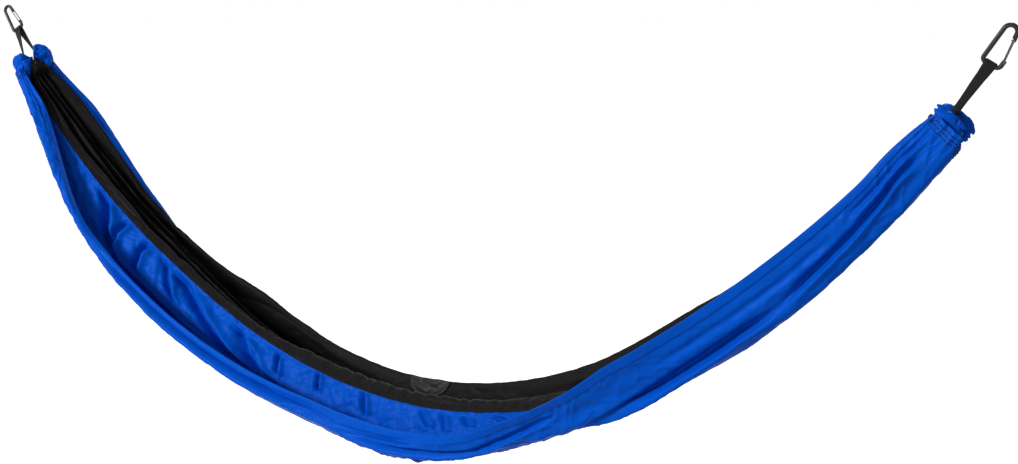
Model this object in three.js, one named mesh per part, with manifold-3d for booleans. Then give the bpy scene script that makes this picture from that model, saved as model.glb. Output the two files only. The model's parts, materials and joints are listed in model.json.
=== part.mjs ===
// Three-panel travel hammock with two wire-gate carabiners, hanging empty.
// Millimetres, +Z up. The origin is the left hang point, where the load sits inside the left
// carabiner's bow, and the right hang point lies on +X at the same height. +Y is the far side
// of the cloth.
import * as THREE from 'three';
import Module from 'manifold-3d';

const wasm = await Module();
wasm.setup();

// ---------- driving dimensions ----------
const SPAN = 2664; // between the two hang points
const PANEL_LENGTH = 2895; // cloth between the two end channels, along the hanging curve
const CLOTH_THICKNESS = 2; // modelled thickness of the thin nylon
const SEAM_WIDTH = 10;
const HEM_WIDTH = 14;
const SEWN_THICKNESS = 3.2; // folded layers of a seam or hem
const CLEARANCE = 0.3; // between neighbouring pieces
const SEWN_CLEARANCE = 0.5; // between strips that are sewn together
const SEAT_CLEARANCE = 0.6; // cloth to the gathered channel

const ROD_RADIUS = 4; // carabiner rod
const CARABINER_INSIDE = 64; // clear length, top bow to basket
const CARABINER_WIDTH = 32; // between the rod's centre lines at the basket
const BOW_RADIUS = 11; // top bow, at the rod's centre line
const SEAT_TURN = THREE.MathUtils.degToRad(45); // the load's seat in the bow, towards the gate
const BASKET_CORNER = 7; // corner radius at the rod's centre line
const NOSE_REACH = 13; // straight of the nose, from the top bow to its tip
const HOOK_LENGTH = 3; // from the nose's tip back to the gate's cross wire
const WIRE_RADIUS = 1.25;

const WEBBING_WIDTH = 20;
const WEBBING_THICKNESS = 2;
const FOLDED_WIDTH = 10; // the webbing folds in two where the channel gathers on it
const BIGHT_WRAP = THREE.MathUtils.degToRad(101); // round the basket, each way from its top
const BIGHT_STEPS = 5;
const CLOTH_START = 204; // hang point to the edge of the cloth, along the hanging line
const HOOK_REACH = 160; // hang point to where the line turns steeper
const HOOK_RISE = THREE.MathUtils.degToRad(5); // slings and hooks pull steeper than the cloth

// The gathered channels bend to rings round the webbing, the right one drawn up tighter.
const LEFT_RING_RADIUS = 30;
const RIGHT_RING_RADIUS = 18;
const CHANNEL_THICKNESS = 28; // across the ring's cord, in the ring's plane
const CHANNEL_HEIGHT = 56; // square to the ring's plane
const CHANNEL_DROP = 8; // the gathered cloth hangs below the webbing
const MOUTH_ANGLE = THREE.MathUtils.degToRad(132); // from the ring's far point to each mouth
const COLOUR_ANGLE = THREE.MathUtils.degToRad(34); // where black meets blue
const GATHER_DEPTH = 2.6; // ripple of the gathered channel
const LEFT_RING_TILT = THREE.MathUtils.degToRad(30); // the left end hangs twisted
const LEFT_CARABINER_TWIST = THREE.MathUtils.degToRad(-12);
const RIGHT_CARABINER_TWIST = THREE.MathUtils.degToRad(25);

const POCKET_HALF_WIDTH = 60;
const POCKET_DEPTH = 54;
const POCKET_DROP = 9; // its mouth below the top fold
const POCKET_PLACE = 0.496; // along the cloth, as a share of its length

// ---------- materials ----------
const cloth = (color) => new THREE.MeshStandardMaterial({ color, roughness: 0.62, metalness: 0 });
const BLUE = 0x0449ad;
const BLACK = 0x201f21;
const steel = (color) => new THREE.MeshStandardMaterial({ color, roughness: 0.35, metalness: 0.9 });

// ---------- the hanging line ----------
// A catenary along the cloth, straight on through each channel, then a little steeper along
// the sling and the hook.
const CHANNEL_REACH = CLOTH_START - HOOK_REACH;
const HALF_CLOTH = PANEL_LENGTH / 2;

function endPull(sagRadius) {
  const slope = Math.atan2(HALF_CLOTH, sagRadius);
  const steep = slope + HOOK_RISE;
  return {
    across: CHANNEL_REACH * Math.cos(slope) + HOOK_REACH * Math.cos(steep),
    down: CHANNEL_REACH * Math.sin(slope) + HOOK_REACH * Math.sin(steep),
  };
}

function spanFor(sagRadius) {
  return 2 * sagRadius * Math.asinh(HALF_CLOTH / sagRadius) + 2 * endPull(sagRadius).across;
}

function solveSagRadius() {
  let low = 1;
  let high = 1000 * PANEL_LENGTH;
  for (let step = 0; step < 80; step += 1) {
    const middle = (low + high) / 2;
    if (spanFor(middle) < SPAN) low = middle;
    else high = middle;
  }
  return (low + high) / 2;
}

const SAG_RADIUS = solveSagRadius();
const END_HEIGHT = Math.hypot(SAG_RADIUS, HALF_CLOTH) + endPull(SAG_RADIUS).down;

// Place a point: s along the line from the left hang point, y across, n square to the line.
function place(s, y, n) {
  const fromMiddle = s - CLOTH_START - HALF_CLOTH;
  const onCloth = THREE.MathUtils.clamp(fromMiddle, -HALF_CLOTH, HALF_CLOTH);
  const inChannel = THREE.MathUtils.clamp(fromMiddle - onCloth, -CHANNEL_REACH, CHANNEL_REACH);
  const onHook = fromMiddle - onCloth - inChannel;
  const slope = Math.atan2(onCloth, SAG_RADIUS);
  const steep = slope + Math.sign(onHook) * HOOK_RISE;
  const x = SPAN / 2 + SAG_RADIUS * Math.asinh(onCloth / SAG_RADIUS)
    + inChannel * Math.cos(slope) + onHook * Math.cos(steep);
  const z = Math.hypot(SAG_RADIUS, onCloth) - END_HEIGHT
    + inChannel * Math.sin(slope) + onHook * Math.sin(steep);
  return new THREE.Vector3(x - n * Math.sin(steep), y, z + n * Math.cos(steep));
}

// ---------- closed solids from rows of points ----------
function solid(points, triangles) {
  const volume = triangles.reduce((sum, [a, b, c]) => {
    const crossed = new THREE.Vector3().crossVectors(points[b], points[c]);
    return sum + points[a].dot(crossed);
  }, 0);
  const facing = volume > 0 ? triangles : triangles.map(([a, b, c]) => [a, c, b]);
  const geometry = new THREE.BufferGeometry().setFromPoints(points);
  geometry.setIndex(facing.flat());
  geometry.computeVertexNormals();
  return geometry;
}

function quad(triangles, a, b, c, d) {
  triangles.push([a, b, c], [a, c, d]);
}

// Skin over equal rings of points, with flat ends, or joined end to end.
function loft(rings, endless = false) {
  const count = rings[0].length;
  const triangles = [];
  const last = endless ? rings.length : rings.length - 1;
  for (let i = 0; i < last; i += 1) {
    const here = i * count;
    const next = ((i + 1) % rings.length) * count;
    for (let j = 0; j < count; j += 1) {
      const k = (j + 1) % count;
      quad(triangles, here + j, here + k, next + k, next + j);
    }
  }
  if (!endless) {
    const end = (rings.length - 1) * count;
    for (let j = 1; j < count - 1; j += 1) {
      triangles.push([0, j + 1, j], [end, end + j, end + j + 1]);
    }
  }
  return solid(rings.flat(), triangles);
}

// A lofted tube with a bore of its own section right through it.
function boredLoft(outer, inner) {
  const count = outer[0].length;
  const bore = outer.length * count;
  const end = (outer.length - 1) * count;
  const triangles = [];
  for (let j = 0; j < count; j += 1) {
    const k = (j + 1) % count;
    for (let here = 0; here < end; here += count) {
      quad(triangles, here + j, here + k, here + count + k, here + count + j);
      quad(triangles, bore + here + k, bore + here + j, bore + here + count + j, bore + here + count + k);
    }
    quad(triangles, k, j, bore + j, bore + k);
    quad(triangles, end + j, end + k, bore + end + k, bore + end + j);
  }
  return solid([...outer.flat(), ...inner.flat()], triangles);
}

// A thin shell between an upper and a lower grid of points.
function shell(upper, lower) {
  const rows = upper.length;
  const columns = upper[0].length;
  const under = rows * columns;
  const triangles = [];
  for (let i = 0; i < rows - 1; i += 1) {
    for (let j = 0; j < columns - 1; j += 1) {
      const a = i * columns + j;
      quad(triangles, a, a + 1, a + columns + 1, a + columns);
      quad(triangles, under + a + 1, under + a, under + a + columns, under + a + columns + 1);
    }
  }
  for (let j = 0; j < columns - 1; j += 1) {
    const a = (rows - 1) * columns + j;
    quad(triangles, j + 1, j, under + j, under + j + 1);
    quad(triangles, a, a + 1, under + a + 1, under + a);
  }
  for (let i = 0; i < rows - 1; i += 1) {
    const a = i * columns;
    const b = a + columns - 1;
    quad(triangles, a, a + columns, under + a + columns, under + a);
    quad(triangles, b, under + b, under + b + columns, b + columns);
  }
  return solid([...upper.flat(), ...lower.flat()], triangles);
}

function toManifold(geometry) {
  return new wasm.Manifold(new wasm.Mesh({
    numProp: 3,
    vertProperties: new Float32Array(geometry.attributes.position.array),
    triVerts: new Uint32Array(geometry.index.array),
  }));
}

function cut(geometry, tools) {
  let body = toManifold(geometry);
  for (const tool of tools) body = body.subtract(toManifold(tool));
  const mesh = body.getMesh();
  const result = new THREE.BufferGeometry();
  result.setAttribute('position', new THREE.BufferAttribute(mesh.vertProperties, 3));
  result.setIndex(new THREE.BufferAttribute(mesh.triVerts, 1));
  result.computeVertexNormals();
  return result;
}

// ---------- the draped cloth ----------
// Lines that the cloth's edges, seams and folds follow, from the near hem to the far hem.
// Each point is the share of the cloth's length, then millimetres across and up.
// The first and last points of every line come from END_FOLDS, at the two channels.
const FOLD_LINES = [
  // near hem
  [[0.05, -45, 8], [0.15, -105, -18], [0.25, -115, -8], [0.35, -120, 13], [0.45, -135, 24],
    [0.55, -140, -2], [0.65, -140, 32], [0.75, -140, 41], [0.85, -120, 33], [0.95, -70, 22]],
  // crease down the near wall
  [[0.05, -70, -2], [0.15, -119, -26], [0.2, -126, -29], [0.25, -127, -22], [0.45, -140, -1],
    [0.55, -142, -35], [0.65, -126, -16], [0.75, -105, -22], [0.85, -95, -39], [0.95, -62, -22]],
  // foot of the near wall
  [[0.05, -80, -18], [0.15, -120, -41], [0.2, -124, -48], [0.25, -124, -42], [0.35, -128, -27],
    [0.45, -128, -28], [0.55, -124, -65], [0.65, -108, -50], [0.75, -94, -52], [0.85, -84, -64],
    [0.95, -50, -56], [0.975, -40, -51]],
  // bottom of the near trough
  [[0.05, -52, -40], [0.15, -78, -62], [0.2, -81, -69], [0.25, -80, -64], [0.35, -78, -59],
    [0.45, -84, -49], [0.55, -84, -72], [0.65, -78, -56], [0.75, -68, -53], [0.85, -58, -62],
    [0.95, -30, -53], [0.975, -26, -50]],
  // near seam
  [[0.05, -25, -5], [0.15, -15, 12], [0.25, -10, 36], [0.35, -20, 50], [0.45, -25, 45],
    [0.55, -25, 28], [0.65, -25, 5], [0.75, -25, -15], [0.85, -20, -25], [0.95, -12, -22]],
  // ridge beside the near seam
  [[0.05, -12, 6], [0.15, -1, 20], [0.25, 3, 43], [0.35, -3, 57], [0.45, 2, 55], [0.55, 2, 40],
    [0.65, 4, 25], [0.75, 4, 15], [0.95, -2, 8]],
  // first valley
  [[0.05, -2, -22], [0.15, 11, -38], [0.25, 16, -42], [0.35, 18, -45], [0.45, 24, -46],
    [0.55, 25, -50], [0.65, 25, -42], [0.75, 25, -40], [0.85, 20, -38], [0.95, 8, -26]],
  // first inner fold
  [[0.05, 8, 9], [0.15, 25, 16], [0.25, 33, 28], [0.35, 42, 15], [0.45, 45, 10], [0.65, 46, 12],
    [0.75, 46, 12], [0.85, 36, 10], [0.95, 17, 8]],
  // second valley
  [[0.05, 17, -24], [0.15, 38, -42], [0.25, 50, -48], [0.35, 62, -48], [0.45, 66, -50],
    [0.55, 66, -52], [0.65, 67, -42], [0.75, 67, -38], [0.85, 52, -36], [0.95, 26, -24]],
  // second inner fold
  [[0.05, 27, 9], [0.15, 52, 15], [0.25, 68, 20], [0.35, 84, -5], [0.45, 88, 0], [0.65, 88, 10],
    [0.75, 88, 12], [0.85, 68, 12], [0.95, 36, 9]],
  // third valley
  [[0.05, 37, -20], [0.15, 66, -38], [0.25, 88, -46], [0.35, 112, -46], [0.55, 112, -48],
    [0.65, 112, -36], [0.75, 110, -34], [0.85, 86, -26], [0.95, 46, -18]],
  // top fold of the black cloth
  [[0.05, 50, 22], [0.15, 85, 1], [0.2, 96, 18], [0.25, 108, 27], [0.3, 128, 38], [0.35, 145, 27],
    [0.45, 145, 26], [0.55, 145, 39], [0.65, 148, 53], [0.75, 148, 75], [0.85, 115, 62],
    [0.95, 58, 38], [0.975, 34, 38]],
  // far seam
  [[0.05, 64, 21], [0.15, 97, 2], [0.2, 108, 9], [0.25, 121, 7], [0.3, 145, 15], [0.35, 164, 3],
    [0.55, 168, 11], [0.65, 168, 26], [0.75, 163, 47], [0.85, 127, 38], [0.95, 67, 22]],
  // shoulder of the far cloth
  [[0.05, 86, 25], [0.15, 112, 5], [0.2, 120, -8], [0.25, 130, -31], [0.3, 152, -29],
    [0.35, 170, -41], [0.55, 174, -33], [0.65, 174, -10], [0.75, 170, 9], [0.85, 133, 6],
    [0.95, 73, 2]],
  // back of the far cloth
  [[0.05, 90, -13], [0.15, 120, -47], [0.2, 117, -63], [0.25, 114, -83], [0.3, 132, -83],
    [0.35, 150, -89], [0.55, 154, -83], [0.65, 150, -46], [0.75, 140, -35], [0.85, 118, -32],
    [0.95, 64, -25]],
  // far hem
  [[0.05, 66, -38], [0.15, 74, -86], [0.25, 58, -112], [0.35, 78, -114], [0.55, 78, -106],
    [0.65, 64, -60], [0.75, 56, -50], [0.85, 50, -47], [0.95, 30, -38]],
];
// The same lines where the cloth meets a channel, as shares of the ring's reach and half height.
const END_FOLDS = [
  [-0.66, 0.5], [-0.92, -0.1], [-0.9, -0.8], [-0.7, -1],
  [-0.5, -0.2], [-0.38, 0.5], [-0.25, -0.6], [-0.12, 0.5], [0, -0.6], [0.13, 0.5], [0.26, -0.55],
  [0.39, 0.7], [0.52, 0.45], [0.78, 0.5], [0.93, 0], [0.64, -0.7],
];
const NEAR_SEAM = 4; // place of each named line in FOLD_LINES
const TOP_FOLD = 11;
const FAR_SEAM = 12;
const FAR_HEM = 15;

function turned(y, n, angle) {
  return [y * Math.cos(angle) - n * Math.sin(angle), y * Math.sin(angle) + n * Math.cos(angle)];
}

const LEFT_OUTER = LEFT_RING_RADIUS + CHANNEL_THICKNESS / 2;
const RIGHT_OUTER = RIGHT_RING_RADIUS + CHANNEL_THICKNESS / 2;

function wholeLine(index) {
  const [across, up] = END_FOLDS[index];
  const n = (up * CHANNEL_HEIGHT) / 2 - CHANNEL_DROP;
  const left = turned(across * LEFT_OUTER, n, LEFT_RING_TILT);
  return [[0, ...left], ...FOLD_LINES[index], [1, across * RIGHT_OUTER, n]];
}

const LINES = FOLD_LINES.map((line, index) => wholeLine(index));

// Smooth value of a line at a share of the length: cubic between its points.
function onLine(line, share, column) {
  let i = 0;
  while (i < line.length - 2 && share > line[i + 1][0]) i += 1;
  const slope = (k) => {
    const a = line[Math.max(k - 1, 0)];
    const b = line[Math.min(k + 1, line.length - 1)];
    return (b[column] - a[column]) / (b[0] - a[0]);
  };
  const [from, to] = [line[i], line[i + 1]];
  const step = to[0] - from[0];
  const f = (share - from[0]) / step;
  return from[column] * (1 + 2 * f) * (1 - f) ** 2 + to[column] * f * f * (3 - 2 * f)
    + step * slope(i) * f * (1 - f) ** 2 + step * slope(i + 1) * f * f * (f - 1);
}

// The cloth's section at a share of its length, as a smooth curve in y and n.
function sectionAt(share) {
  const points = LINES.map((line) => new THREE.Vector3(onLine(line, share, 1), onLine(line, share, 2), 0));
  return new THREE.CatmullRomCurve3(points, false, 'centripetal');
}

function onSection(section, fold) {
  const point = section.getPoint(fold / FAR_HEM);
  const side = section.getTangent(fold / FAR_HEM);
  return { y: point.x, n: point.y, normal: [-side.y, side.x] };
}

// The end rows wrap the channel's round ring, and straighten out over the first stretch.
const WRAP_SHARE = 0.06;

function wrapBack(across, outer) {
  const seat = outer + SEAT_CLEARANCE;
  const held = Math.min(Math.abs(across), outer);
  return seat - Math.sqrt(seat * seat - held * held);
}

function stationFor(share, y, n) {
  const nearLeft = Math.max(0, 1 - share / WRAP_SHARE) ** 2;
  const nearRight = Math.max(0, 1 - (1 - share) / WRAP_SHARE) ** 2;
  const [acrossLeft] = turned(y, n, -LEFT_RING_TILT);
  const s = CLOTH_START + SEAT_CLEARANCE + share * (PANEL_LENGTH - 2 * SEAT_CLEARANCE);
  return s + wrapBack(y, RIGHT_OUTER) * nearRight - wrapBack(acrossLeft, LEFT_OUTER) * nearLeft;
}

// Rows lie closer together towards the gathered ends.
const ROWS = 38;
const rowShare = (row) => row / ROWS - (0.45 * Math.sin((2 * Math.PI * row) / ROWS)) / (2 * Math.PI);

// A fold number moved along the section by a distance in millimetres.
function foldMoved(section, fold, distance) {
  const step = 0.01 * Math.sign(distance);
  let at = fold;
  let left = Math.abs(distance);
  let from = section.getPoint(at / FAR_HEM);
  while (left > 0) {
    const to = section.getPoint((at + step) / FAR_HEM);
    const length = to.distanceTo(from);
    at += step * Math.min(1, left / length);
    left -= length;
    from = to;
  }
  return at;
}

// A grid of points on a strip of the cloth, from one line to another, raised along its normals.
// Insets move its two edges along the section. Where two strips meet, both take the normal
// of the line midway between them, so their edges stay parallel.
function clothGrid(strip, height) {
  const grid = [];
  for (let row = 0; row <= ROWS; row += 1) {
    const share = rowShare(row);
    const section = sectionAt(share);
    const moved = (fold, inset) => (inset ? foldMoved(section, fold, inset) : fold);
    const start = moved(strip.from, strip.fromInset);
    const end = moved(strip.to, strip.toInset);
    const points = [];
    for (let column = 0; column <= strip.columns; column += 1) {
      const { y, n, normal } = onSection(section, start + ((end - start) * column) / strip.columns);
      let raise = normal;
      if (column === 0 && strip.from + strip.fromInset !== 0) {
        raise = onSection(section, foldMoved(section, start, -SEWN_CLEARANCE / 2)).normal;
      }
      if (column === strip.columns && strip.to + strip.toInset !== FAR_HEM) {
        raise = onSection(section, foldMoved(section, end, SEWN_CLEARANCE / 2)).normal;
      }
      const across = y + raise[0] * height;
      const up = n + raise[1] * height;
      points.push(place(stationFor(share, across, up), across, up));
    }
    grid.push(points);
  }
  return grid;
}

function clothStrip(strip, thickness) {
  return shell(clothGrid(strip, thickness / 2), clothGrid(strip, -thickness / 2));
}

const SEAM_EDGE = SEAM_WIDTH / 2;
const PANEL_EDGE = SEAM_EDGE + SEWN_CLEARANCE;
const HEM_EDGE = HEM_WIDTH + SEWN_CLEARANCE;
const strip = (from, fromInset, to, toInset, columns) => ({ from, fromInset, to, toInset, columns });
const CENTRE = strip(NEAR_SEAM, PANEL_EDGE, FAR_SEAM, -PANEL_EDGE, 24);

const CLOTH_PIECES = [
  ['near_hem', BLUE, strip(0, 0, 0, HEM_WIDTH, 1), SEWN_THICKNESS],
  ['near_side_panel', BLUE, strip(0, HEM_EDGE, NEAR_SEAM, -PANEL_EDGE, 12), CLOTH_THICKNESS],
  ['near_seam', BLACK, strip(NEAR_SEAM, -SEAM_EDGE, NEAR_SEAM, SEAM_EDGE, 2), SEWN_THICKNESS],
  ['centre_panel', BLACK, CENTRE, CLOTH_THICKNESS],
  ['far_seam', BLACK, strip(FAR_SEAM, -SEAM_EDGE, FAR_SEAM, SEAM_EDGE, 2), SEWN_THICKNESS],
  ['far_side_panel', BLUE, strip(FAR_SEAM, PANEL_EDGE, FAR_HEM, -HEM_EDGE, 9), CLOTH_THICKNESS],
  ['far_hem', BLUE, strip(FAR_HEM, -HEM_WIDTH, FAR_HEM, 0, 1), SEWN_THICKNESS],
];

function onGrid(grid, row, column) {
  const [i, j] = [Math.floor(row), Math.floor(column)];
  const low = grid[i][j].clone().lerp(grid[i][j + 1], column - j);
  const high = grid[i + 1][j].clone().lerp(grid[i + 1][j + 1], column - j);
  return low.lerp(high, row - i);
}

function rowOf(share) {
  let row = share * ROWS;
  for (let step = 0; step < 20; step += 1) row += (share - rowShare(row)) * ROWS * 0.7;
  return row;
}

// Small half-round pocket, flat on the far slope of the black cloth, its mouth near the top fold.
function stowPocket() {
  const lift = CLOTH_THICKNESS / 2 + CLEARANCE;
  const steps = 8;
  const faces = [lift + CLOTH_THICKNESS, lift].map((height) => {
    const grid = clothGrid(CENTRE, height);
    const points = [];
    for (let row = 0; row <= steps; row += 1) {
      const fall = (0.99 * row) / steps;
      const reach = POCKET_HALF_WIDTH * Math.sqrt(1 - fall * fall);
      const line = [];
      for (let column = 0; column <= steps; column += 1) {
        const share = POCKET_PLACE + (reach * ((2 * column) / steps - 1)) / PANEL_LENGTH;
        const section = sectionAt(share);
        const start = foldMoved(section, CENTRE.from, CENTRE.fromInset);
        const end = foldMoved(section, CENTRE.to, CENTRE.toInset);
        const fold = foldMoved(section, TOP_FOLD, -POCKET_DROP - POCKET_DEPTH * fall);
        line.push(onGrid(grid, rowOf(share), (CENTRE.columns * (fold - start)) / (end - start)));
      }
      points.push(line);
    }
    return points;
  });
  return shell(...faces);
}

// ---------- frames at the two ends ----------
// The origin is at a distance from the hang point. along points to the cloth, across to the
// far side, up square to both.
function endFrame(isLeft, distance, tilt) {
  const fromEnd = (s) => place(isLeft ? s : 2 * CLOTH_START + PANEL_LENGTH - s, 0, 0);
  const origin = fromEnd(distance);
  const along = fromEnd(distance + 1).sub(origin).normalize();
  const square = new THREE.Vector3(isLeft ? -along.z : along.z, 0, Math.abs(along.x));
  const far = new THREE.Vector3(0, 1, 0);
  const across = far.clone().multiplyScalar(Math.cos(tilt)).addScaledVector(square, Math.sin(tilt));
  const up = far.clone().multiplyScalar(-Math.sin(tilt)).addScaledVector(square, Math.cos(tilt));
  return { origin, along, across, up };
}

function blend(first, firstShare, second, secondShare) {
  return first.clone().multiplyScalar(firstShare).addScaledVector(second, secondShare);
}

function inFrame(frame, a, b, c) {
  return frame.origin.clone()
    .addScaledVector(frame.along, a)
    .addScaledVector(frame.across, b)
    .addScaledVector(frame.up, c);
}

// ---------- gathered end channel ----------
// The folded end of the cloth, drawn up on the webbing into a ring that is open at its mouths.
const SECTION_SIDES = 12;

function ringSection(frame, radius, angle, drop, halfThickness, halfHeight, roundness) {
  const points = [];
  for (let side = 0; side < SECTION_SIDES; side += 1) {
    const turn = ((side + 0.5) * 2 * Math.PI) / SECTION_SIDES;
    const [c, s] = [Math.cos(turn), Math.sin(turn)];
    const radial = radius + Math.sign(c) * Math.abs(c) ** roundness * halfThickness;
    const height = Math.sign(s) * Math.abs(s) ** roundness * halfHeight;
    points.push(inFrame(frame, radial * Math.cos(angle), radial * Math.sin(angle), drop + height));
  }
  return points;
}

function channelPiece(frame, radius, fromAngle, toAngle, steps) {
  const outer = [];
  const bore = [];
  const boreThickness = WEBBING_THICKNESS + CLEARANCE;
  const boreHeight = FOLDED_WIDTH / 2 + CLEARANCE;
  for (let step = 0; step <= steps; step += 1) {
    const angle = fromAngle + ((toAngle - fromAngle) * step) / steps;
    const draw = step % 2 ? GATHER_DEPTH : 0;
    const thickness = CHANNEL_THICKNESS - draw;
    const height = CHANNEL_HEIGHT / 2 - draw;
    outer.push(ringSection(frame, radius, angle, -CHANNEL_DROP, thickness / 2, height, 0.55));
    bore.push(ringSection(frame, radius, angle, 0, boreThickness + 0.2, boreHeight + 0.2, 0.3));
  }
  return boredLoft(outer, bore);
}

// ---------- webbing sling ----------
// A closed loop: round the basket at full width, down two legs, folded in two through the channel.
function websection(centre, wide, thick, width, thickness) {
  const corners = [[1, 1], [-1, 1], [-1, -1], [1, -1]];
  return corners.map(([i, j]) => centre.clone()
    .addScaledVector(wide, (i * width) / 2)
    .addScaledVector(thick, (j * thickness) / 2));
}

function sling(frame, radius, bight) {
  const folded = 2 * WEBBING_THICKNESS;
  const sections = [];
  const bightRadius = ROD_RADIUS + CLEARANCE + WEBBING_THICKNESS / 2;
  for (let step = -BIGHT_STEPS; step <= BIGHT_STEPS; step += 1) {
    const turn = (BIGHT_WRAP * step) / BIGHT_STEPS;
    const thick = blend(bight.out, Math.cos(turn), bight.side, Math.sin(turn));
    const centre = bight.centre.clone().addScaledVector(thick, bightRadius);
    const [width, thickness] = [WEBBING_WIDTH, WEBBING_THICKNESS];
    sections.push({ centre, wide: bight.bar, thick, width, thickness });
  }
  const ringSteps = 18;
  for (let step = 0; step <= ringSteps; step += 1) {
    const angle = MOUTH_ANGLE * (1 - (2 * step) / ringSteps);
    const thick = blend(frame.along, Math.cos(angle), frame.across, Math.sin(angle));
    const centre = frame.origin.clone().addScaledVector(thick, radius);
    sections.push({ centre, wide: frame.up, thick, width: FOLDED_WIDTH, thickness: folded });
  }
  const rings = [];
  const legSteps = 4;
  sections.forEach((here, index) => {
    const next = sections[(index + 1) % sections.length];
    const isLeg = here.width !== next.width;
    for (let step = 0; step < (isLeg ? legSteps : 1); step += 1) {
      const f = step / legSteps;
      const mix = (key) => here[key].clone().lerp(next[key], f).normalize();
      const centre = here.centre.clone().lerp(next.centre, f);
      const width = THREE.MathUtils.lerp(here.width, next.width, f);
      const thickness = THREE.MathUtils.lerp(here.thickness, next.thickness, f);
      rings.push(websection(centre, mix('wide'), mix('thick'), width, thickness));
    }
  });
  return loft(rings, true);
}

// ---------- carabiner ----------
// Drawn flat: a from the top bow to the basket, w towards the gate, b through the plate.
const BASKET = CARABINER_INSIDE + ROD_RADIUS; // rod's centre line at the basket
const SIDE = CARABINER_WIDTH / 2;
const BOW_CENTRE = [BOW_RADIUS - ROD_RADIUS, BOW_RADIUS - SIDE];
const PIVOT_RISE = 11.5; // gate pivot above the basket's centre line
const PIVOT = [BASKET - PIVOT_RISE, SIDE];
const PIVOT_CAP = 4.5; // rod beyond the gate pivot

// The nose points straight at the gate pivot, so its slope follows from the bow and the pivot.
const TO_PIVOT = [PIVOT[0] - BOW_CENTRE[0], PIVOT[1] - BOW_CENTRE[1]];
const NOSE_SLOPE = Math.atan2(TO_PIVOT[1], TO_PIVOT[0])
  - Math.asin(BOW_RADIUS / Math.hypot(TO_PIVOT[0], TO_PIVOT[1]));
const NOSE_START = [
  BOW_CENTRE[0] - BOW_RADIUS * Math.sin(NOSE_SLOPE),
  BOW_CENTRE[1] + BOW_RADIUS * Math.cos(NOSE_SLOPE),
];
const NOSE_LINE = [Math.cos(NOSE_SLOPE), Math.sin(NOSE_SLOPE)];
const alongNose = (distance) => [
  NOSE_START[0] + NOSE_LINE[0] * distance,
  NOSE_START[1] + NOSE_LINE[1] * distance,
];
const CROSS_WIRE = alongNose(NOSE_REACH - HOOK_LENGTH);

function arcPoints(centre, radius, from, to, steps) {
  const points = [];
  for (let step = 0; step <= steps; step += 1) {
    const angle = from + ((to - from) * step) / steps;
    points.push([centre[0] + radius * Math.cos(angle), centre[1] + radius * Math.sin(angle)]);
  }
  return points;
}

function rodLine() {
  const corner = BASKET - BASKET_CORNER;
  const right = Math.PI / 2;
  return [
    [PIVOT[0] - PIVOT_CAP, SIDE],
    [PIVOT[0], SIDE],
    ...arcPoints([corner, SIDE - BASKET_CORNER], BASKET_CORNER, right, 0, 6),
    ...arcPoints([corner, BASKET_CORNER - SIDE], BASKET_CORNER, 0, -right, 6),
    ...arcPoints(BOW_CENTRE, BOW_RADIUS, -right, -3 * right + NOSE_SLOPE, 14),
    alongNose(NOSE_REACH / 2),
    alongNose(NOSE_REACH),
  ];
}

// Round bar along a line of points, each section square to the line, with a small edge at both ends.
function bar(points, radius, sides) {
  const edge = radius * 0.15;
  const rings = points.map((point, index) => {
    const before = points[Math.max(index - 1, 0)];
    const after = points[Math.min(index + 1, points.length - 1)];
    const heading = after.clone().sub(before).normalize();
    const guess = Math.abs(heading.z) > 0.9 ? new THREE.Vector3(0, 1, 0) : new THREE.Vector3(0, 0, 1);
    const u = guess.clone().addScaledVector(heading, -guess.dot(heading)).normalize();
    const v = new THREE.Vector3().crossVectors(heading, u);
    return { point, heading, u, v };
  });
  const round = (at, size, shift) => {
    const ring = [];
    for (let side = 0; side < sides; side += 1) {
      const turn = (side * 2 * Math.PI) / sides;
      ring.push(at.point.clone()
        .addScaledVector(at.heading, shift)
        .addScaledVector(at.u, size * Math.cos(turn))
        .addScaledVector(at.v, size * Math.sin(turn)));
    }
    return ring;
  };
  const first = rings[0];
  const last = rings[rings.length - 1];
  return loft([
    round(first, radius - edge, -edge),
    ...rings.map((at) => round(at, radius, 0)),
    round(last, radius - edge, edge),
  ]);
}

function carabinerBody() {
  const rod = bar(rodLine().map(([a, w]) => new THREE.Vector3(a, w, 0)), ROD_RADIUS, 12);
  const hole = WIRE_RADIUS + CLEARANCE;
  const holeFloor = ROD_RADIUS / 2;
  const bores = [-1, 1].map((side) => {
    const bore = new THREE.CylinderGeometry(hole, hole, ROD_RADIUS, 12);
    bore.rotateX(Math.PI / 2);
    bore.translate(PIVOT[0], PIVOT[1], side * (holeFloor + ROD_RADIUS / 2));
    return bore;
  });
  // A slot for the cross wire, open towards the spine, leaves a hook at the nose's tip.
  const slot = new THREE.Shape();
  slot.absarc(0, 0, hole, 0, Math.PI, false);
  slot.lineTo(-hole, -2 * ROD_RADIUS);
  slot.lineTo(hole, -2 * ROD_RADIUS);
  const depth = 4 * ROD_RADIUS;
  const groove = new THREE.ExtrudeGeometry(slot, { depth, bevelEnabled: false, curveSegments: 8 });
  groove.translate(0, 0, -depth / 2);
  groove.rotateZ(NOSE_SLOPE);
  groove.translate(CROSS_WIRE[0], CROSS_WIRE[1], 0);
  return cut(rod, [...bores, groove].map(merged));
}

function merged(geometry) {
  const places = new Map();
  const points = [];
  const source = geometry.attributes.position;
  const order = geometry.index ? [...geometry.index.array] : [...Array(source.count).keys()];
  const numbers = order.map((index) => {
    const point = new THREE.Vector3().fromBufferAttribute(source, index);
    const key = point.toArray().map((value) => value.toFixed(4)).join();
    if (!places.has(key)) places.set(key, points.push(point) - 1);
    return places.get(key);
  });
  const triangles = [];
  for (let i = 0; i < numbers.length; i += 3) triangles.push(numbers.slice(i, i + 3));
  return solid(points, triangles.filter(([a, b, c]) => a !== b && b !== c && c !== a));
}

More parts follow.
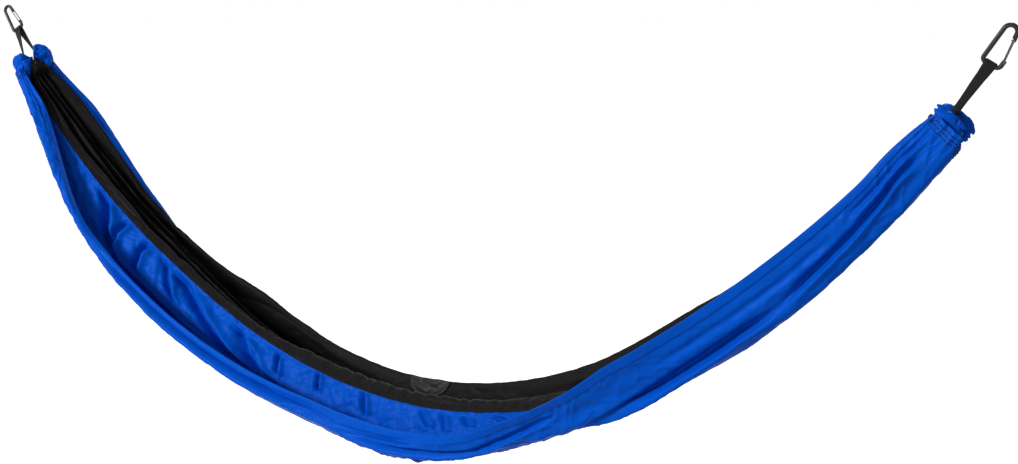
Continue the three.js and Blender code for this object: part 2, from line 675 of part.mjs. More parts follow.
// One bent wire: both ends plug into the bores, two legs run to a cross wire under the hook.
function carabinerGate() {
  const legs = ROD_RADIUS + WIRE_RADIUS + CLEARANCE;
  const end = ROD_RADIUS / 2 + CLEARANCE;
  const bend = 2 * WIRE_RADIUS;
  const corner = (from, at, to) => {
    const into = at.clone().addScaledVector(from.clone().sub(at).normalize(), bend);
    const out = at.clone().addScaledVector(to.clone().sub(at).normalize(), bend);
    const curve = new THREE.QuadraticBezierCurve3(into, at, out);
    return curve.getPoints(4);
  };
  const at = ([a, w], b) => new THREE.Vector3(a, w, b);
  const stops = [
    at(PIVOT, -end), at(PIVOT, -legs), at(CROSS_WIRE, -legs),
    at(CROSS_WIRE, legs), at(PIVOT, legs), at(PIVOT, end),
  ];
  const points = [stops[0]];
  for (let i = 1; i < stops.length - 1; i += 1) {
    points.push(...corner(stops[i - 1], stops[i], stops[i + 1]));
  }
  points.push(stops[stops.length - 1]);
  return bar(points, WIRE_RADIUS, 8);
}

// The load runs from its seat in the bow to the basket's middle, and the spine leans to suit.
const INSIDE_BOW = BOW_RADIUS - ROD_RADIUS;
const SEAT = [
  BOW_CENTRE[0] - INSIDE_BOW * Math.cos(SEAT_TURN),
  BOW_CENTRE[1] + INSIDE_BOW * Math.sin(SEAT_TURN),
];
const LEAN = Math.atan2(-SEAT[1], CARABINER_INSIDE - SEAT[0]);

function carabinerFrame(isLeft) {
  const frame = endFrame(isLeft, 0, isLeft ? LEFT_CARABINER_TWIST : RIGHT_CARABINER_TWIST);
  const gateSide = isLeft ? frame.up.clone() : frame.up.clone().negate();
  const spine = blend(frame.along, Math.cos(LEAN), gateSide, -Math.sin(LEAN));
  const width = blend(frame.along, Math.sin(LEAN), gateSide, Math.cos(LEAN));
  const through = new THREE.Vector3().crossVectors(spine, width);
  const origin = frame.origin.clone()
    .addScaledVector(spine, -SEAT[0])
    .addScaledVector(width, -SEAT[1]);
  return { origin, spine, width, through };
}

function bightOf(hook, ringFrame) {
  const centre = hook.origin.clone().addScaledVector(hook.spine, BASKET);
  const side = hook.through.clone();
  if (side.dot(ringFrame.across) < 0) side.negate();
  const bar = hook.width.clone();
  if (bar.dot(ringFrame.up) < 0) bar.negate();
  return { centre, bar, out: hook.spine.clone().negate(), side };
}

// ---------- assembly ----------
const hammock = new THREE.Group();

function add(parent, name, geometry, material) {
  const mesh = new THREE.Mesh(geometry, material);
  mesh.name = name;
  parent.add(mesh);
}

for (const [name, color, line, thickness] of CLOTH_PIECES) {
  add(hammock, name, clothStrip(line, thickness), cloth(color));
}
add(hammock, 'stow_pocket', stowPocket(), cloth(0x3a3a3b));

for (const side of ['left', 'right']) {
  const isLeft = side === 'left';
  const radius = isLeft ? LEFT_RING_RADIUS : RIGHT_RING_RADIUS;
  const centre = CLOTH_START - radius - CHANNEL_THICKNESS / 2;
  const ring = endFrame(isLeft, centre, isLeft ? LEFT_RING_TILT : 0);
  const hook = carabinerFrame(isLeft);
  const joint = CLEARANCE / 2 / radius;
  const pieces = [
    ['near', BLUE, -MOUTH_ANGLE, -COLOUR_ANGLE - joint, 8],
    ['centre', BLACK, -COLOUR_ANGLE + joint, COLOUR_ANGLE - joint, 6],
    ['far', BLUE, COLOUR_ANGLE + joint, MOUTH_ANGLE, 8],
  ];
  for (const [part, color, from, to, steps] of pieces) {
    add(hammock, `${side}_end_channel_${part}`, channelPiece(ring, radius, from, to, steps), cloth(color));
  }
  add(hammock, `${side}_webbing_sling`, sling(ring, radius, bightOf(hook, ring)), cloth(0x262626));

  const carabiner = new THREE.Group();
  carabiner.matrix.makeBasis(hook.spine, hook.width, hook.through).setPosition(hook.origin);
  carabiner.matrix.decompose(carabiner.position, carabiner.quaternion, carabiner.scale);
  hammock.add(carabiner);
  add(carabiner, `${side}_carabiner_body`, carabinerBody(), steel(0x242424));
  add(carabiner, `${side}_carabiner_gate`, carabinerGate(), steel(0x5a5a5a));
}

export default hammock;
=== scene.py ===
# A nylon travel hammock, hanging empty from two carabiners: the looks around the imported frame.
# Metres, in the frame's own axes: +X to the right hang point, +Y to the far side, +Z up.
import json
import math

import bmesh
import bpy
import numpy as np
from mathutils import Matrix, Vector


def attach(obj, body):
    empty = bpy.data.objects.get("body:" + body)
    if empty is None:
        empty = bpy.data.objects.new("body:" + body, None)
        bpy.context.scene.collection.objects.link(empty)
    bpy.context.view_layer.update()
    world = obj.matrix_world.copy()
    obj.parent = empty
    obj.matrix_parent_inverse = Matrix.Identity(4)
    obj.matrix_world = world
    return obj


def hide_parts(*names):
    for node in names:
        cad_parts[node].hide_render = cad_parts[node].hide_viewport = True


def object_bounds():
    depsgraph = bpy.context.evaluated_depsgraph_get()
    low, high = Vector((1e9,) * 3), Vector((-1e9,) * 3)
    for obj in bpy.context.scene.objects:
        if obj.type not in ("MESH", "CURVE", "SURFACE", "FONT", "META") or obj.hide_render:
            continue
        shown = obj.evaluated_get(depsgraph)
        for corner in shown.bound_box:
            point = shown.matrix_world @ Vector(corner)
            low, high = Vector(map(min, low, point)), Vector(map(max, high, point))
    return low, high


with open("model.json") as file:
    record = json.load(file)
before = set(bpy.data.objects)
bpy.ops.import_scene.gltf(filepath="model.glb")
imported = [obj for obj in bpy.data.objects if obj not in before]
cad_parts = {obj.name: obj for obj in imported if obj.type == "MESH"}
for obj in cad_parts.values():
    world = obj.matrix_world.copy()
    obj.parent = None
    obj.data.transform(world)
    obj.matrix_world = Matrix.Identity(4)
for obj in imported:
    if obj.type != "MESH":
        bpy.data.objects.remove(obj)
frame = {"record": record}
cad_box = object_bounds()

# ---------- camera ----------
# A short telephoto a little below the carabiners, to the right of the middle, so that the
# right end comes nearer and the hammock runs away to the left.


def put_in_scene(name, data):
    """A new object at the origin that holds a mesh, a lamp or the camera."""
    made = bpy.data.objects.new(name, data)
    bpy.context.scene.collection.objects.link(made)
    return made


camera = put_in_scene("camera", bpy.data.cameras.new("camera"))
camera.data.lens = 52.65
camera.location = (3.4548, -2.3943, 0.0895)
camera.rotation_euler = (math.radians(80.15), 0, math.radians(36.9))
bpy.context.scene.camera = camera
bpy.context.scene.view_settings.view_transform = "Standard"

# ---------- the hanging line and the folds ----------
# The cloth is three long panels sewn side by side and drawn up at both ends, so it hangs in
# a catenary and shuts into long folds, with its near edge open on the left and closed on
# the right.
MM = 0.001
hang_points = {m["name"]: Vector(m["pos_m"]) for m in frame["record"]["mounts"]}
SPAN = hang_points["right_hang_point"].x
PANEL_LENGTH = 2.895
HALF_CLOTH = PANEL_LENGTH / 2
CLOTH_START = 0.204  # carabiner, sling and channel, before the cloth begins
HOOK_REACH = 0.160  # the sling and the hook pull steeper than the cloth, this far
HOOK_RISE = math.radians(5)
CHANNEL_REACH = CLOTH_START - HOOK_REACH
CHANNEL_HALF, CHANNEL_DROP = 0.032, 0.008  # half its height, and how far it hangs low
LEFT_OUTER, RIGHT_OUTER = 0.048, 0.037  # the channels' rings, which the cloth's ends wrap
SEAT_GAP = 0.0006  # between the cloth and the rings
WRAP_SHARE = 0.06  # of the length, over which the cloth bends round a ring
LEFT_TILT = math.radians(30)  # the left end hangs twisted


def end_pull(sag_radius):
    """How far out and up a channel and a hook reach, at the end of such a catenary."""
    slope = math.atan2(HALF_CLOTH, sag_radius)
    steep = slope + HOOK_RISE
    return (CHANNEL_REACH * math.cos(slope) + HOOK_REACH * math.cos(steep),
            CHANNEL_REACH * math.sin(slope) + HOOK_REACH * math.sin(steep))


# Halving finds the catenary that fits between the hang points.
low, high = 0.01, 100
for _ in range(80):
    SAG_RADIUS = (low + high) / 2
    if 2 * (SAG_RADIUS * math.asinh(HALF_CLOTH / SAG_RADIUS) + end_pull(SAG_RADIUS)[0]) < SPAN:
        low = SAG_RADIUS
    else:
        high = SAG_RADIUS
END_HEIGHT = math.hypot(SAG_RADIUS, HALF_CLOTH) + end_pull(SAG_RADIUS)[1]


def place(s, y, n):
    """Points at s along the hanging line, y across and n square to the line."""
    from_middle = s - CLOTH_START - HALF_CLOTH
    on_cloth = np.clip(from_middle, -HALF_CLOTH, HALF_CLOTH)
    in_channel = np.clip(from_middle - on_cloth, -CHANNEL_REACH, CHANNEL_REACH)
    on_hook = from_middle - on_cloth - in_channel
    slope = np.arctan2(on_cloth, SAG_RADIUS)
    steep = slope + np.sign(on_hook) * HOOK_RISE
    x = (SPAN / 2 + SAG_RADIUS * np.arcsinh(on_cloth / SAG_RADIUS)
         + in_channel * np.cos(slope) + on_hook * np.cos(steep))
    z = (np.hypot(SAG_RADIUS, on_cloth) - END_HEIGHT
         + in_channel * np.sin(slope) + on_hook * np.sin(steep))
    return np.stack([x - n * np.sin(steep), y + 0 * x, z + n * np.cos(steep)], -1)


# Each line that an edge, seam or fold follows: share of the length, then mm across and up.
FOLDS = [
    # near hem
    [(0.05, -45, 2), (0.15, -105, -24), (0.2, -113, -22), (0.25, -115, -14), (0.35, -120, 7),
     (0.45, -135, 24), (0.5, -138, 14), (0.55, -140, 0), (0.6, -140, -9), (0.65, -140, 6),
     (0.7, -141, 20), (0.75, -140, 36), (0.85, -120, 32), (0.95, -70, 24), (0.975, -50, 28)],
    # crease down the near wall
    [(0.05, -70, -2), (0.15, -119, -26), (0.2, -126, -29), (0.25, -127, -22), (0.45, -140, -1),
     (0.55, -142, -35), (0.65, -126, -16), (0.75, -105, -22), (0.85, -95, -39), (0.95, -62, -22)],
    # foot of the near wall
    [(0.05, -80, -18), (0.15, -120, -41), (0.2, -124, -48), (0.25, -124, -42), (0.35, -128, -27),
     (0.45, -128, -28), (0.55, -124, -65), (0.65, -108, -50), (0.75, -94, -52), (0.85, -84, -64),
     (0.95, -50, -56), (0.975, -40, -51)],
    # bottom of the near trough
    [(0.05, -52, -40), (0.15, -78, -62), (0.2, -81, -69), (0.25, -80, -64), (0.35, -78, -59),
     (0.45, -84, -49), (0.55, -84, -72), (0.65, -78, -56), (0.75, -68, -53), (0.85, -58, -62),
     (0.95, -30, -53), (0.975, -26, -50)],
    # near seam
    [(0.05, -25, -5), (0.15, -15, 12), (0.25, -10, 36), (0.35, -20, 50), (0.45, -25, 45),
     (0.55, -25, 28), (0.65, -25, 5), (0.75, -25, -15), (0.85, -20, -25), (0.95, -12, -22)],
    # ridge beside the near seam
    [(0.05, -12, 6), (0.15, -1, 20), (0.25, 3, 43), (0.35, -3, 57), (0.45, 2, 55), (0.55, 2, 40),
     (0.65, 4, 25), (0.75, 4, 15), (0.95, -2, 8)],
    # first valley
    [(0.05, -2, -22), (0.15, 11, -30), (0.25, 16, -34), (0.35, 18, -45), (0.45, 24, -46),
     (0.55, 25, -50), (0.65, 25, -42), (0.75, 25, -40), (0.85, 20, -38), (0.95, 8, -26)],
    # first inner fold
    [(0.05, 8, 9), (0.15, 25, 16), (0.25, 33, 28), (0.35, 42, 15), (0.45, 45, 10), (0.65, 46, 12),
     (0.75, 46, 12), (0.85, 36, 10), (0.95, 17, 8)],
    # second valley
    [(0.05, 17, -24), (0.15, 38, -36), (0.25, 50, -40), (0.35, 62, -48), (0.45, 66, -50),
     (0.55, 66, -52), (0.65, 67, -42), (0.75, 67, -38), (0.85, 52, -36), (0.95, 26, -24)],
    # second inner fold
    [(0.05, 27, 9), (0.15, 52, 15), (0.25, 68, 20), (0.35, 84, -5), (0.45, 88, 0), (0.65, 88, 10),
     (0.75, 88, 12), (0.85, 68, 12), (0.95, 36, 9)],
    # third valley
    [(0.05, 37, -20), (0.15, 66, -38), (0.25, 88, -46), (0.35, 112, -46), (0.55, 112, -48),
     (0.65, 112, -36), (0.75, 110, -34), (0.85, 86, -26), (0.95, 46, -18)],
    # top fold of the black cloth
    [(0.05, 50, 22), (0.15, 85, 1), (0.2, 96, 18), (0.25, 108, 27), (0.3, 128, 38), (0.35, 145, 27),
     (0.45, 145, 26), (0.55, 145, 39), (0.65, 148, 53), (0.75, 148, 75), (0.85, 115, 62),
     (0.95, 58, 38), (0.975, 34, 38)],
    # far seam
    [(0.05, 64, 21), (0.15, 97, 2), (0.2, 108, 9), (0.25, 121, 7), (0.3, 145, 15), (0.35, 164, 3),
     (0.55, 168, 11), (0.65, 168, 26), (0.75, 163, 47), (0.85, 127, 38), (0.95, 67, 22)],
    # shoulder of the far cloth
    [(0.05, 86, 25), (0.15, 112, 5), (0.2, 120, -8), (0.25, 130, -31), (0.3, 152, -29),
     (0.35, 170, -41), (0.55, 174, -33), (0.65, 174, -10), (0.75, 170, 9), (0.85, 133, 6),
     (0.95, 73, 2)],
    # back of the far cloth
    [(0.05, 90, -13), (0.15, 120, -47), (0.2, 117, -63), (0.25, 114, -83), (0.3, 132, -83),
     (0.35, 150, -89), (0.55, 154, -83), (0.65, 150, -46), (0.75, 140, -35), (0.85, 118, -32),
     (0.95, 64, -25)],
    # far hem
    [(0.05, 66, -38), (0.15, 74, -86), (0.25, 58, -112), (0.35, 78, -114), (0.55, 78, -106),
     (0.65, 64, -60), (0.75, 56, -50), (0.85, 50, -47), (0.95, 30, -38)],
]
# Where each line meets the channels, as shares of the ring's reach and half height.
END_FOLDS = [
    (-0.66, 0.9), (-0.95, 0), (-0.92, -1.1), (-0.7, -1.3),
    (-0.5, -0.2), (-0.38, 0.5), (-0.25, -0.6), (-0.12, 0.5), (0, -0.6), (0.13, 0.5),
    (0.26, -0.55), (0.39, 0.7), (0.52, 0.45), (0.78, 0.5), (0.93, 0), (0.64, -0.7),
]
NEAR_SEAM, TOP_FOLD, FAR_SEAM, FAR_HEM = 4, 11, 12, 15


def tilted(y, n, angle):
    """A place (y, n) turned about the hanging line by an angle."""
    return (y * math.cos(angle) - n * math.sin(angle), y * math.sin(angle) + n * math.cos(angle))


def whole_line(folds, end):
    """A line in metres, with its two ends on the channels."""
    n = end[1] * CHANNEL_HALF - CHANNEL_DROP
    inner = [(share, across * MM, up * MM) for share, across, up in folds]
    left = tilted(end[0] * LEFT_OUTER, n, LEFT_TILT)
    return np.array([(0, *left), *inner, (1, end[0] * RIGHT_OUTER, n)])


LINES = [whole_line(folds, end) for folds, end in zip(FOLDS, END_FOLDS)]


def cubic(a, b, leave, enter, f):
    """Shares f of the way from a to b on a smooth curve with these slopes at its ends."""
    return (a * (1 + 2 * f) * (1 - f) ** 2 + b * f * f * (3 - 2 * f)
            + leave * f * (1 - f) ** 2 + enter * f * f * (f - 1))


def on_line(line, shares):
    """Points (y, n) of a line at an array of shares, cubic between its own points."""
    at, points = line[:, 0], line[:, 1:]
    k = np.arange(len(line))
    before, after = np.maximum(k - 1, 0), np.minimum(k + 1, k[-1])
    slopes = (points[after] - points[before]) / (at[after] - at[before])[:, None]
    i = np.clip(np.searchsorted(at, shares) - 1, 0, k[-1] - 1)
    step = (at[i + 1] - at[i])[:, None]
    f = (shares[:, None] - at[i][:, None]) / step
    return cubic(points[i], points[i + 1], step * slopes[i], step * slopes[i + 1], f)


def section_at(share, samples=20):
    """One smooth curve through the lines at a share: fold numbers and points (y, n)."""
    knots = np.array([on_line(line, np.array([share]))[0] for line in LINES])
    knots = np.vstack([2 * knots[0] - knots[1], knots, 2 * knots[-1] - knots[-2]])
    gaps = np.sqrt(np.linalg.norm(np.diff(knots, axis=0), axis=1))[:, None]
    a, b, c, d = knots[:-3], knots[1:-2], knots[2:-1], knots[3:]
    g0, g1, g2 = gaps[:-2], gaps[1:-1], gaps[2:]
    leave = ((b - a) / g0 - (c - a) / (g0 + g1) + (c - b) / g1) * g1
    enter = ((c - b) / g1 - (d - b) / (g1 + g2) + (d - c) / g2) * g1
    f = (np.arange(samples) / samples)[None, :, None]
    curve = cubic(b[:, None], c[:, None], leave[:, None], enter[:, None], f)
    points = np.vstack([curve.reshape(-1, 2), c[-1:]])
    return np.arange(len(points)) / samples, points


# ---------- flat cloth and its creases ----------
# Thin nylon keeps every crease: deep pleats run out of the gathered ends, the seams pucker
# the cloth beside them, and short folds hang from the near seam into the trough.
SIDE_WIDTH, CENTRE_WIDTH = 0.22, 0.60  # flat widths of the panels
FLAT_AT = np.array([0, SIDE_WIDTH, SIDE_WIDTH + CENTRE_WIDTH, 2 * SIDE_WIDTH + CENTRE_WIDTH])
FLAT_LINES = [0, NEAR_SEAM, FAR_SEAM, FAR_HEM]

# Creases along the near panel: depth and width in mm, then share and flat mm from the hem.
# A depth above zero sinks the upper face of the cloth, and one below zero the under face.
LONG_CREASES = (
    (-20, 8, [(0.16, 16), (0.31, 17), (0.38, 19), (0.455, 18), (0.52, 12)]),
    (-10, 5, [(0.42, 33), (0.48, 32), (0.515, 25), (0.58, 17)]),
    (-14, 6, [(0.46, 38), (0.525, 40), (0.565, 42), (0.61, 53), (0.65, 47), (0.7, 44)]),
    (13, 7, [(0.16, 98), (0.22, 104), (0.3, 108), (0.4, 112), (0.5, 116), (0.56, 120)]),
    (-25, 8, [(0.68, 116), (0.715, 112), (0.75, 108), (0.785, 99), (0.835, 90), (0.875, 97)]),
    (-16, 8, [(0.86, 98), (0.89, 86), (0.93, 80), (0.965, 66), (0.995, 74)]),
    (-7, 7, [(0.93, 44), (0.975, 40), (0.998, 50)]),
    (-4, 8, [(0.76, 60), (0.82, 52), (0.88, 54), (0.93, 52)]),
)
# Folds that hang from the near seam: depth and width in mm, then mm below the seam and share.
HANGING_FOLDS = (
    (26, 11, [(10, 0.136), (38, 0.150), (70, 0.160), (117, 0.190)]),
    (16, 8, [(8, 0.176), (60, 0.175), (108, 0.186)]),
    (25, 10, [(12, 0.206), (50, 0.205), (82, 0.210), (100, 0.216)]),
    (18, 8, [(12, 0.228), (65, 0.250), (84, 0.267)]),
    (26, 11, [(12, 0.255), (30, 0.262), (58, 0.295), (75, 0.320), (92, 0.349)]),
    (24, 10, [(20, 0.330), (38, 0.345), (60, 0.356), (80, 0.377)]),
    (20, 7, [(16, 0.384), (40, 0.388), (62, 0.391)]),
    (18, 6.5, [(8, 0.430), (30, 0.433), (52, 0.436)]),
    (16, 6, [(8, 0.480), (45, 0.486), (60, 0.488)]),
    (11, 5.5, [(12, 0.538), (30, 0.545), (52, 0.552)]),
    (11, 5.5, [(15, 0.560), (30, 0.563), (56, 0.566)]),
    (10, 5.5, [(17, 0.579), (30, 0.584), (44, 0.588)]),
    (8, 5, [(15, 0.608), (25, 0.616), (36, 0.622)]),
)
# Spots of the near panel and of the black one: share and flat mm of the middle, half sizes.
CRUMPLED_SPOTS = ((0.68, 70, 0.07, 60), (0.97, 60, 0.035, 70), (0.5, 200, 0.16, 40),
                  (0.1, 60, 0.09, 80), (0.22, 190, 0.1, 40))
RUFFLED_SPOT, TUCKED_SPOT = (0.545, 85, 0.045, 30), (0.978, 790, 0.016, 50)
LEAST_CRUMPLED, TUCK_DEPTH = 0.35, 9
# Pleats out of the gathered ends: metres from crest to crest, depth in mm, reach in metres.
PLEATS = ((0.019, 2.5, 0.08), (0.041, 3.4, 0.18), (0.110, 2.2, 0.4))
PLEAT_SWAY, SWAY_ALONG, SWAY_ACROSS = 3.2, 0.3, 0.06
PLEAT_CREST, NEAR_PLEATS_LOST = 1.6, 0.7
# Random folds: depth in mm, metres from fold to fold along and across, and a seed.
WALL_FOLDS = ((2.6, 0.055, 0.12, 3), (0.9, 0.021, 0.05, 9))
RUFFLES, RIDGE_CRINKLES = (8, 0.013, 0.09, 10), (4.0, 0.014, 0.04, 11)
LONG_FOLDS, SLACK_FOLDS, SLACK_SLANT = (3.0, 0.33, 0.024, 6), (5.0, 0.21, 0.09, 15), 1.6
RUMPLES, FINE_RUMPLES = (1.1, 0.06, 0.022, 7), (0.4, 0.02, 0.014, 8)
PUCKERS, NEAR_SEAM_SEED, FAR_SEAM_SEED = (3.8, 0.023, 0.05), 4, 5
CRUMPLES, CRUMPLE_TURNS = (1.6, 0.055, 0.019), ((0.5, 12), (-0.9, 13))
# Metres over which creases grow from a seam, from the hem and from a gathered end.
SEAM_HOLD, HEM_HOLD, END_HOLD = 0.007, 0.012, 0.25
PUCKER_START, PUCKER_REACH, BLACK_START = 0.005, 0.022, 0.02
WALL_MIDDLE, RIDGE_MIDDLE, RIDGE_HALF = 0.05, 0.03, 0.022  # metres from the near seam
# Shares of the length at which the near pleats begin to flatten, and at which the wall's folds
# and the slack have ended, each with the share over which it happens, negative for an end.
NEAR_FLATTENS, WALL_ENDS, SLACK_ENDS = (0.6, 0.2), (0.68, -0.1), (0.45, -0.1)
RIDGE_PLACE = (0.48, 0.2)  # middle and half of its share of the length
STEEPEST = 1.2  # the slope of cloth up to which folds in the wall hang plumb
END_CROWDING = 0.3  # how much closer together rows of the mesh lie at the gathered ends
KNOTS = 128  # after so many the random heights repeat
GROOVE_FADE = 0.25  # of its length, at each end
LIP_HEIGHT, LIP_OFF, LIP_HALF = 0.45, 1.9, 1.1  # shares of the groove's depth and width


def random_field(u, v, seed):
    """A smooth random height from -1 to 1, with one knot per unit of u and of v."""
    table = np.random.default_rng(seed).uniform(-1, 1, (KNOTS, KNOTS))
    i, j = np.floor(u).astype(int), np.floor(v).astype(int)
    f, g = (t * t * t * (t * (6 * t - 15) + 10) for t in (u - i, v - j))
    near, far = (table[i % KNOTS, row % KNOTS] * (1 - f) + table[(i + 1) % KNOTS, row % KNOTS] * f
                 for row in (j, j + 1))
    return near * (1 - g) + far * g


def sharp_folds(u, v, seed):
    """Random folds with rounded crests and sharp valleys."""
    return 2 * np.sqrt(np.abs(random_field(u, v, seed))) - 1


def random_folds(kind, where, u, v, shape=sharp_folds):
    """Random folds of one kind, as strong as where says."""
    depth, apart_u, apart_v, seed = kind
    return depth * MM * where * shape(u / apart_u, v / apart_v, seed)


def close_to(value, middle, half):
    """1 at the middle, about a third at the half width, and then smoothly nothing."""
    return np.exp(-((value - middle) / half) ** 2)


def in_spot(share, flat, at, across, half_along, half_across):
    """1 in the middle of a spot of the cloth, falling off along and across it."""
    return close_to(share, at, half_along) * close_to(flat, across * MM, half_across * MM)


def ramp(value, start, over):
    """0 at the start and 1 from a length beyond it, or before it where over is negative."""
    return np.clip((value - start) / over, 0, 1)


def groove(here, across, depth, width, line):
    """One crease along a line of (here, across): a valley with a lip along one side."""
    at, middle = np.array(line, float).T
    length = at[-1] - at[0]
    slant = math.atan2(middle[-1] - middle[0], length)
    fade = ramp(np.minimum(here - at[0], at[-1] - here), 0, length * GROOVE_FADE)
    off = (across - np.interp(here, at, middle)) * math.cos(slant) / (width * MM)
    lip = LIP_HEIGHT * close_to(off, LIP_OFF, LIP_HALF)
    return depth * MM * fade * fade * (3 - 2 * fade) * (lip - close_to(off, 0, 1))


def creases(along, flat):
    """How far the cloth stands off its main folds, at metres along and flat metres across."""
    share = along / PANEL_LENGTH
    from_end = np.minimum(along, PANEL_LENGTH - along)
    free = 1 - np.exp(-from_end / END_HOLD)
    below = SIDE_WIDTH - flat  # metres into the near panel from its seam
    on_near = 1 - close_to(np.maximum(below, 0), 0, SEAM_HOLD)
    on_near = on_near * (1 - close_to(flat, 0, HEM_HOLD))
    on_black = free * ramp(-below, 0, BLACK_START)

    height = 0
    sway = PLEAT_SWAY * random_field(along / SWAY_ALONG, flat / SWAY_ACROSS, 1)
    drawn = 1 - NEAR_PLEATS_LOST * on_near * ramp(share, *NEAR_FLATTENS)
    for apart, depth, reach in PLEATS:
        pleat = drawn * np.abs(np.sin(np.pi * flat / apart + sway))
        height += depth * MM * np.exp(-from_end / reach) * (PLEAT_CREST * pleat - 1)

    # Folds in the trough's inner wall hang plumb, whatever the slope of the cloth.
    hung = along - below * np.clip((HALF_CLOTH - along) / SAG_RADIUS, -STEEPEST, STEEPEST)
    wall = on_near * free * close_to(below, WALL_MIDDLE, WALL_MIDDLE) * ramp(share, *WALL_ENDS)
    for kind in WALL_FOLDS:
        height += random_folds(kind, wall, hung, below)
    for seam, seed in ((FLAT_AT[1], NEAR_SEAM_SEED), (FLAT_AT[2], FAR_SEAM_SEED)):
        off = np.abs(flat - seam)
        beside = np.exp(-off / PUCKER_REACH) * (1 - np.exp(-off / PUCKER_START))
        height += random_folds((*PUCKERS, seed), free * beside, along, off)
    for depth, width, line in LONG_CREASES:
        line = [(at * PANEL_LENGTH, across * MM) for at, across in line]
        height += on_near * groove(along, flat, depth, width, line)
    for depth, width, line in HANGING_FOLDS:
        line = [(down * MM, at * PANEL_LENGTH) for down, at in line]
        height += on_near * groove(below, along, depth, width, line)
    height += random_folds(RUFFLES, in_spot(share, flat, *RUFFLED_SPOT), along, flat)
    crumple = sum((in_spot(share, flat, *spot) for spot in CRUMPLED_SPOTS), LEAST_CRUMPLED)
    crumple = on_near * np.minimum(crumple, 1)
    for angle, seed in CRUMPLE_TURNS:
        v, u = tilted(flat, along, angle)
        height += random_folds((*CRUMPLES, seed), crumple, u, v)

    # The black ridge beside the near seam is crinkled across, and the rest falls in long folds.
    ridge = close_to(-below, RIDGE_MIDDLE, RIDGE_HALF) * close_to(share, *RIDGE_PLACE)
    height += random_folds(RIDGE_CRINKLES, ridge, along, flat)
    height += random_folds(LONG_FOLDS, on_black, along, flat, random_field)
    slack = on_black * ramp(share, *SLACK_ENDS)
    height += random_folds(SLACK_FOLDS, slack, along - SLACK_SLANT * flat, flat)
    # Near the right end the folded black cloth is drawn in under the near panel.
    height -= TUCK_DEPTH * MM * in_spot(share, flat, *TUCKED_SPOT)
    height += random_folds(RUMPLES, free, along, flat, random_field)
    return height + random_folds(FINE_RUMPLES, 1, along, flat, random_field)


def row_shares(rows):
    """Rows along the cloth, closer together towards the gathered ends."""
    row = np.linspace(0, 1, rows + 1)
    return row - END_CROWDING * np.sin(2 * np.pi * row) / (2 * np.pi)


def seat_back(across, outer):
    """How far a ring's round outside falls back from its front, at a place across it."""
    seat = outer + SEAT_GAP
    held = np.minimum(np.abs(across), outer)
    return seat - np.sqrt(seat * seat - held * held)


def settle(shares, y, n):
    """Places section points in space: the first and last rows wrap the channels' rings."""
    left = np.maximum(0, 1 - shares / WRAP_SHARE) ** 2
    right = np.maximum(0, 1 - (1 - shares) / WRAP_SHARE) ** 2
    across_left = tilted(y, n, -LEFT_TILT)[0]
    s = CLOTH_START + SEAT_GAP * (1 - 2 * shares) + shares * PANEL_LENGTH
    s = s + seat_back(y, RIGHT_OUTER) * right - seat_back(across_left, LEFT_OUTER) * left
    return place(s, y, n)


def lengths_along(points):
    """How far along their own line points lie, from the first."""
    return np.concatenate([[0], np.cumsum(np.linalg.norm(np.diff(points, axis=0), axis=1))])


def flat_section(share):
    """A section's fold numbers and points, and each point's way round it and flat place."""
    folds, points = section_at(share)
    way = lengths_along(points)
    return folds, points, way, np.interp(way, np.interp(FLAT_LINES, folds, way), FLAT_AT)


def drape(shares, flats, lift=0.0):
    """Points of the cloth at rows of shares and, in each row, flat metres from the near hem."""
    flats = np.broadcast_to(flats, (len(shares), np.shape(flats)[-1]))
    y, n, out_y, out_n = (np.empty(flats.shape) for _ in range(4))
    for row, share in enumerate(shares):
        _, points, _, flat = flat_section(share)
        tangent = np.gradient(points, axis=0)
        tangent /= np.linalg.norm(tangent, axis=1)[:, None]
        y[row], n[row] = (np.interp(flats[row], flat, points[:, k]) for k in (0, 1))
        out_y[row] = np.interp(flats[row], flat, -tangent[:, 1])
        out_n[row] = np.interp(flats[row], flat, tangent[:, 0])
    column = np.broadcast_to(np.asarray(shares)[:, None], flats.shape)
    raised = creases(column * PANEL_LENGTH, flats) + lift
    return settle(column, y + out_y * raised, n + out_n * raised)


# ---------- near side panel ----------
# The long blue panel on the near side, of nylon taffeta hemmed along its outer edge. It hangs
# open as a trough on the left, and its outer face turns up and over the trough on the right.


def grid_faces(rows, columns):
    """Faces of a sheet of points."""
    a = (np.arange(rows - 1)[:, None] * columns + np.arange(columns - 1)).ravel()
    return np.stack([a, a + 1, a + columns + 1, a + columns], 1)


def cloth_map(across, along):
    """UV places in metres, for rows of points along and the points across in each."""
    return np.stack(np.meshgrid(across, along), -1)


def new_piece(name, points, faces, material, uv=None):
    """A mesh object at the origin, smooth, with its own UV map in metres of flat cloth."""
    mesh = bpy.data.meshes.new(name)
    mesh.from_pydata(points.reshape(-1, 3).tolist(), [], faces.tolist())
    mesh.polygons.foreach_set("use_smooth", [True] * len(mesh.polygons))
    if uv is not None:
        corner = np.empty(len(mesh.loops), int)
        mesh.loops.foreach_get("vertex_index", corner)
        layer = mesh.uv_layers.new(name="cloth")
        layer.data.foreach_set("uv", uv.reshape(-1, 2)[corner].ravel())
    mesh.materials.append(material)
    return put_in_scene(name, mesh)


def linear(hex_colour):
    """An sRGB hex value as the linear colour that a shader takes."""
    parts = [int(hex_colour[i:i + 2], 16) / 255 for i in (0, 2, 4)]
    return (*(p / 12.92 if p < 0.04045 else ((p + 0.055) / 1.055) ** 2.4 for p in parts), 1)


def feed(tree, node, inputs):
    """Sets a node's own input sockets to values, or links them to the sockets that feed them."""
    for key, value in inputs.items():
        if isinstance(value, bpy.types.NodeSocket):
            tree.links.new(value, node.inputs[key])
        else:
            node.inputs[key].default_value = value


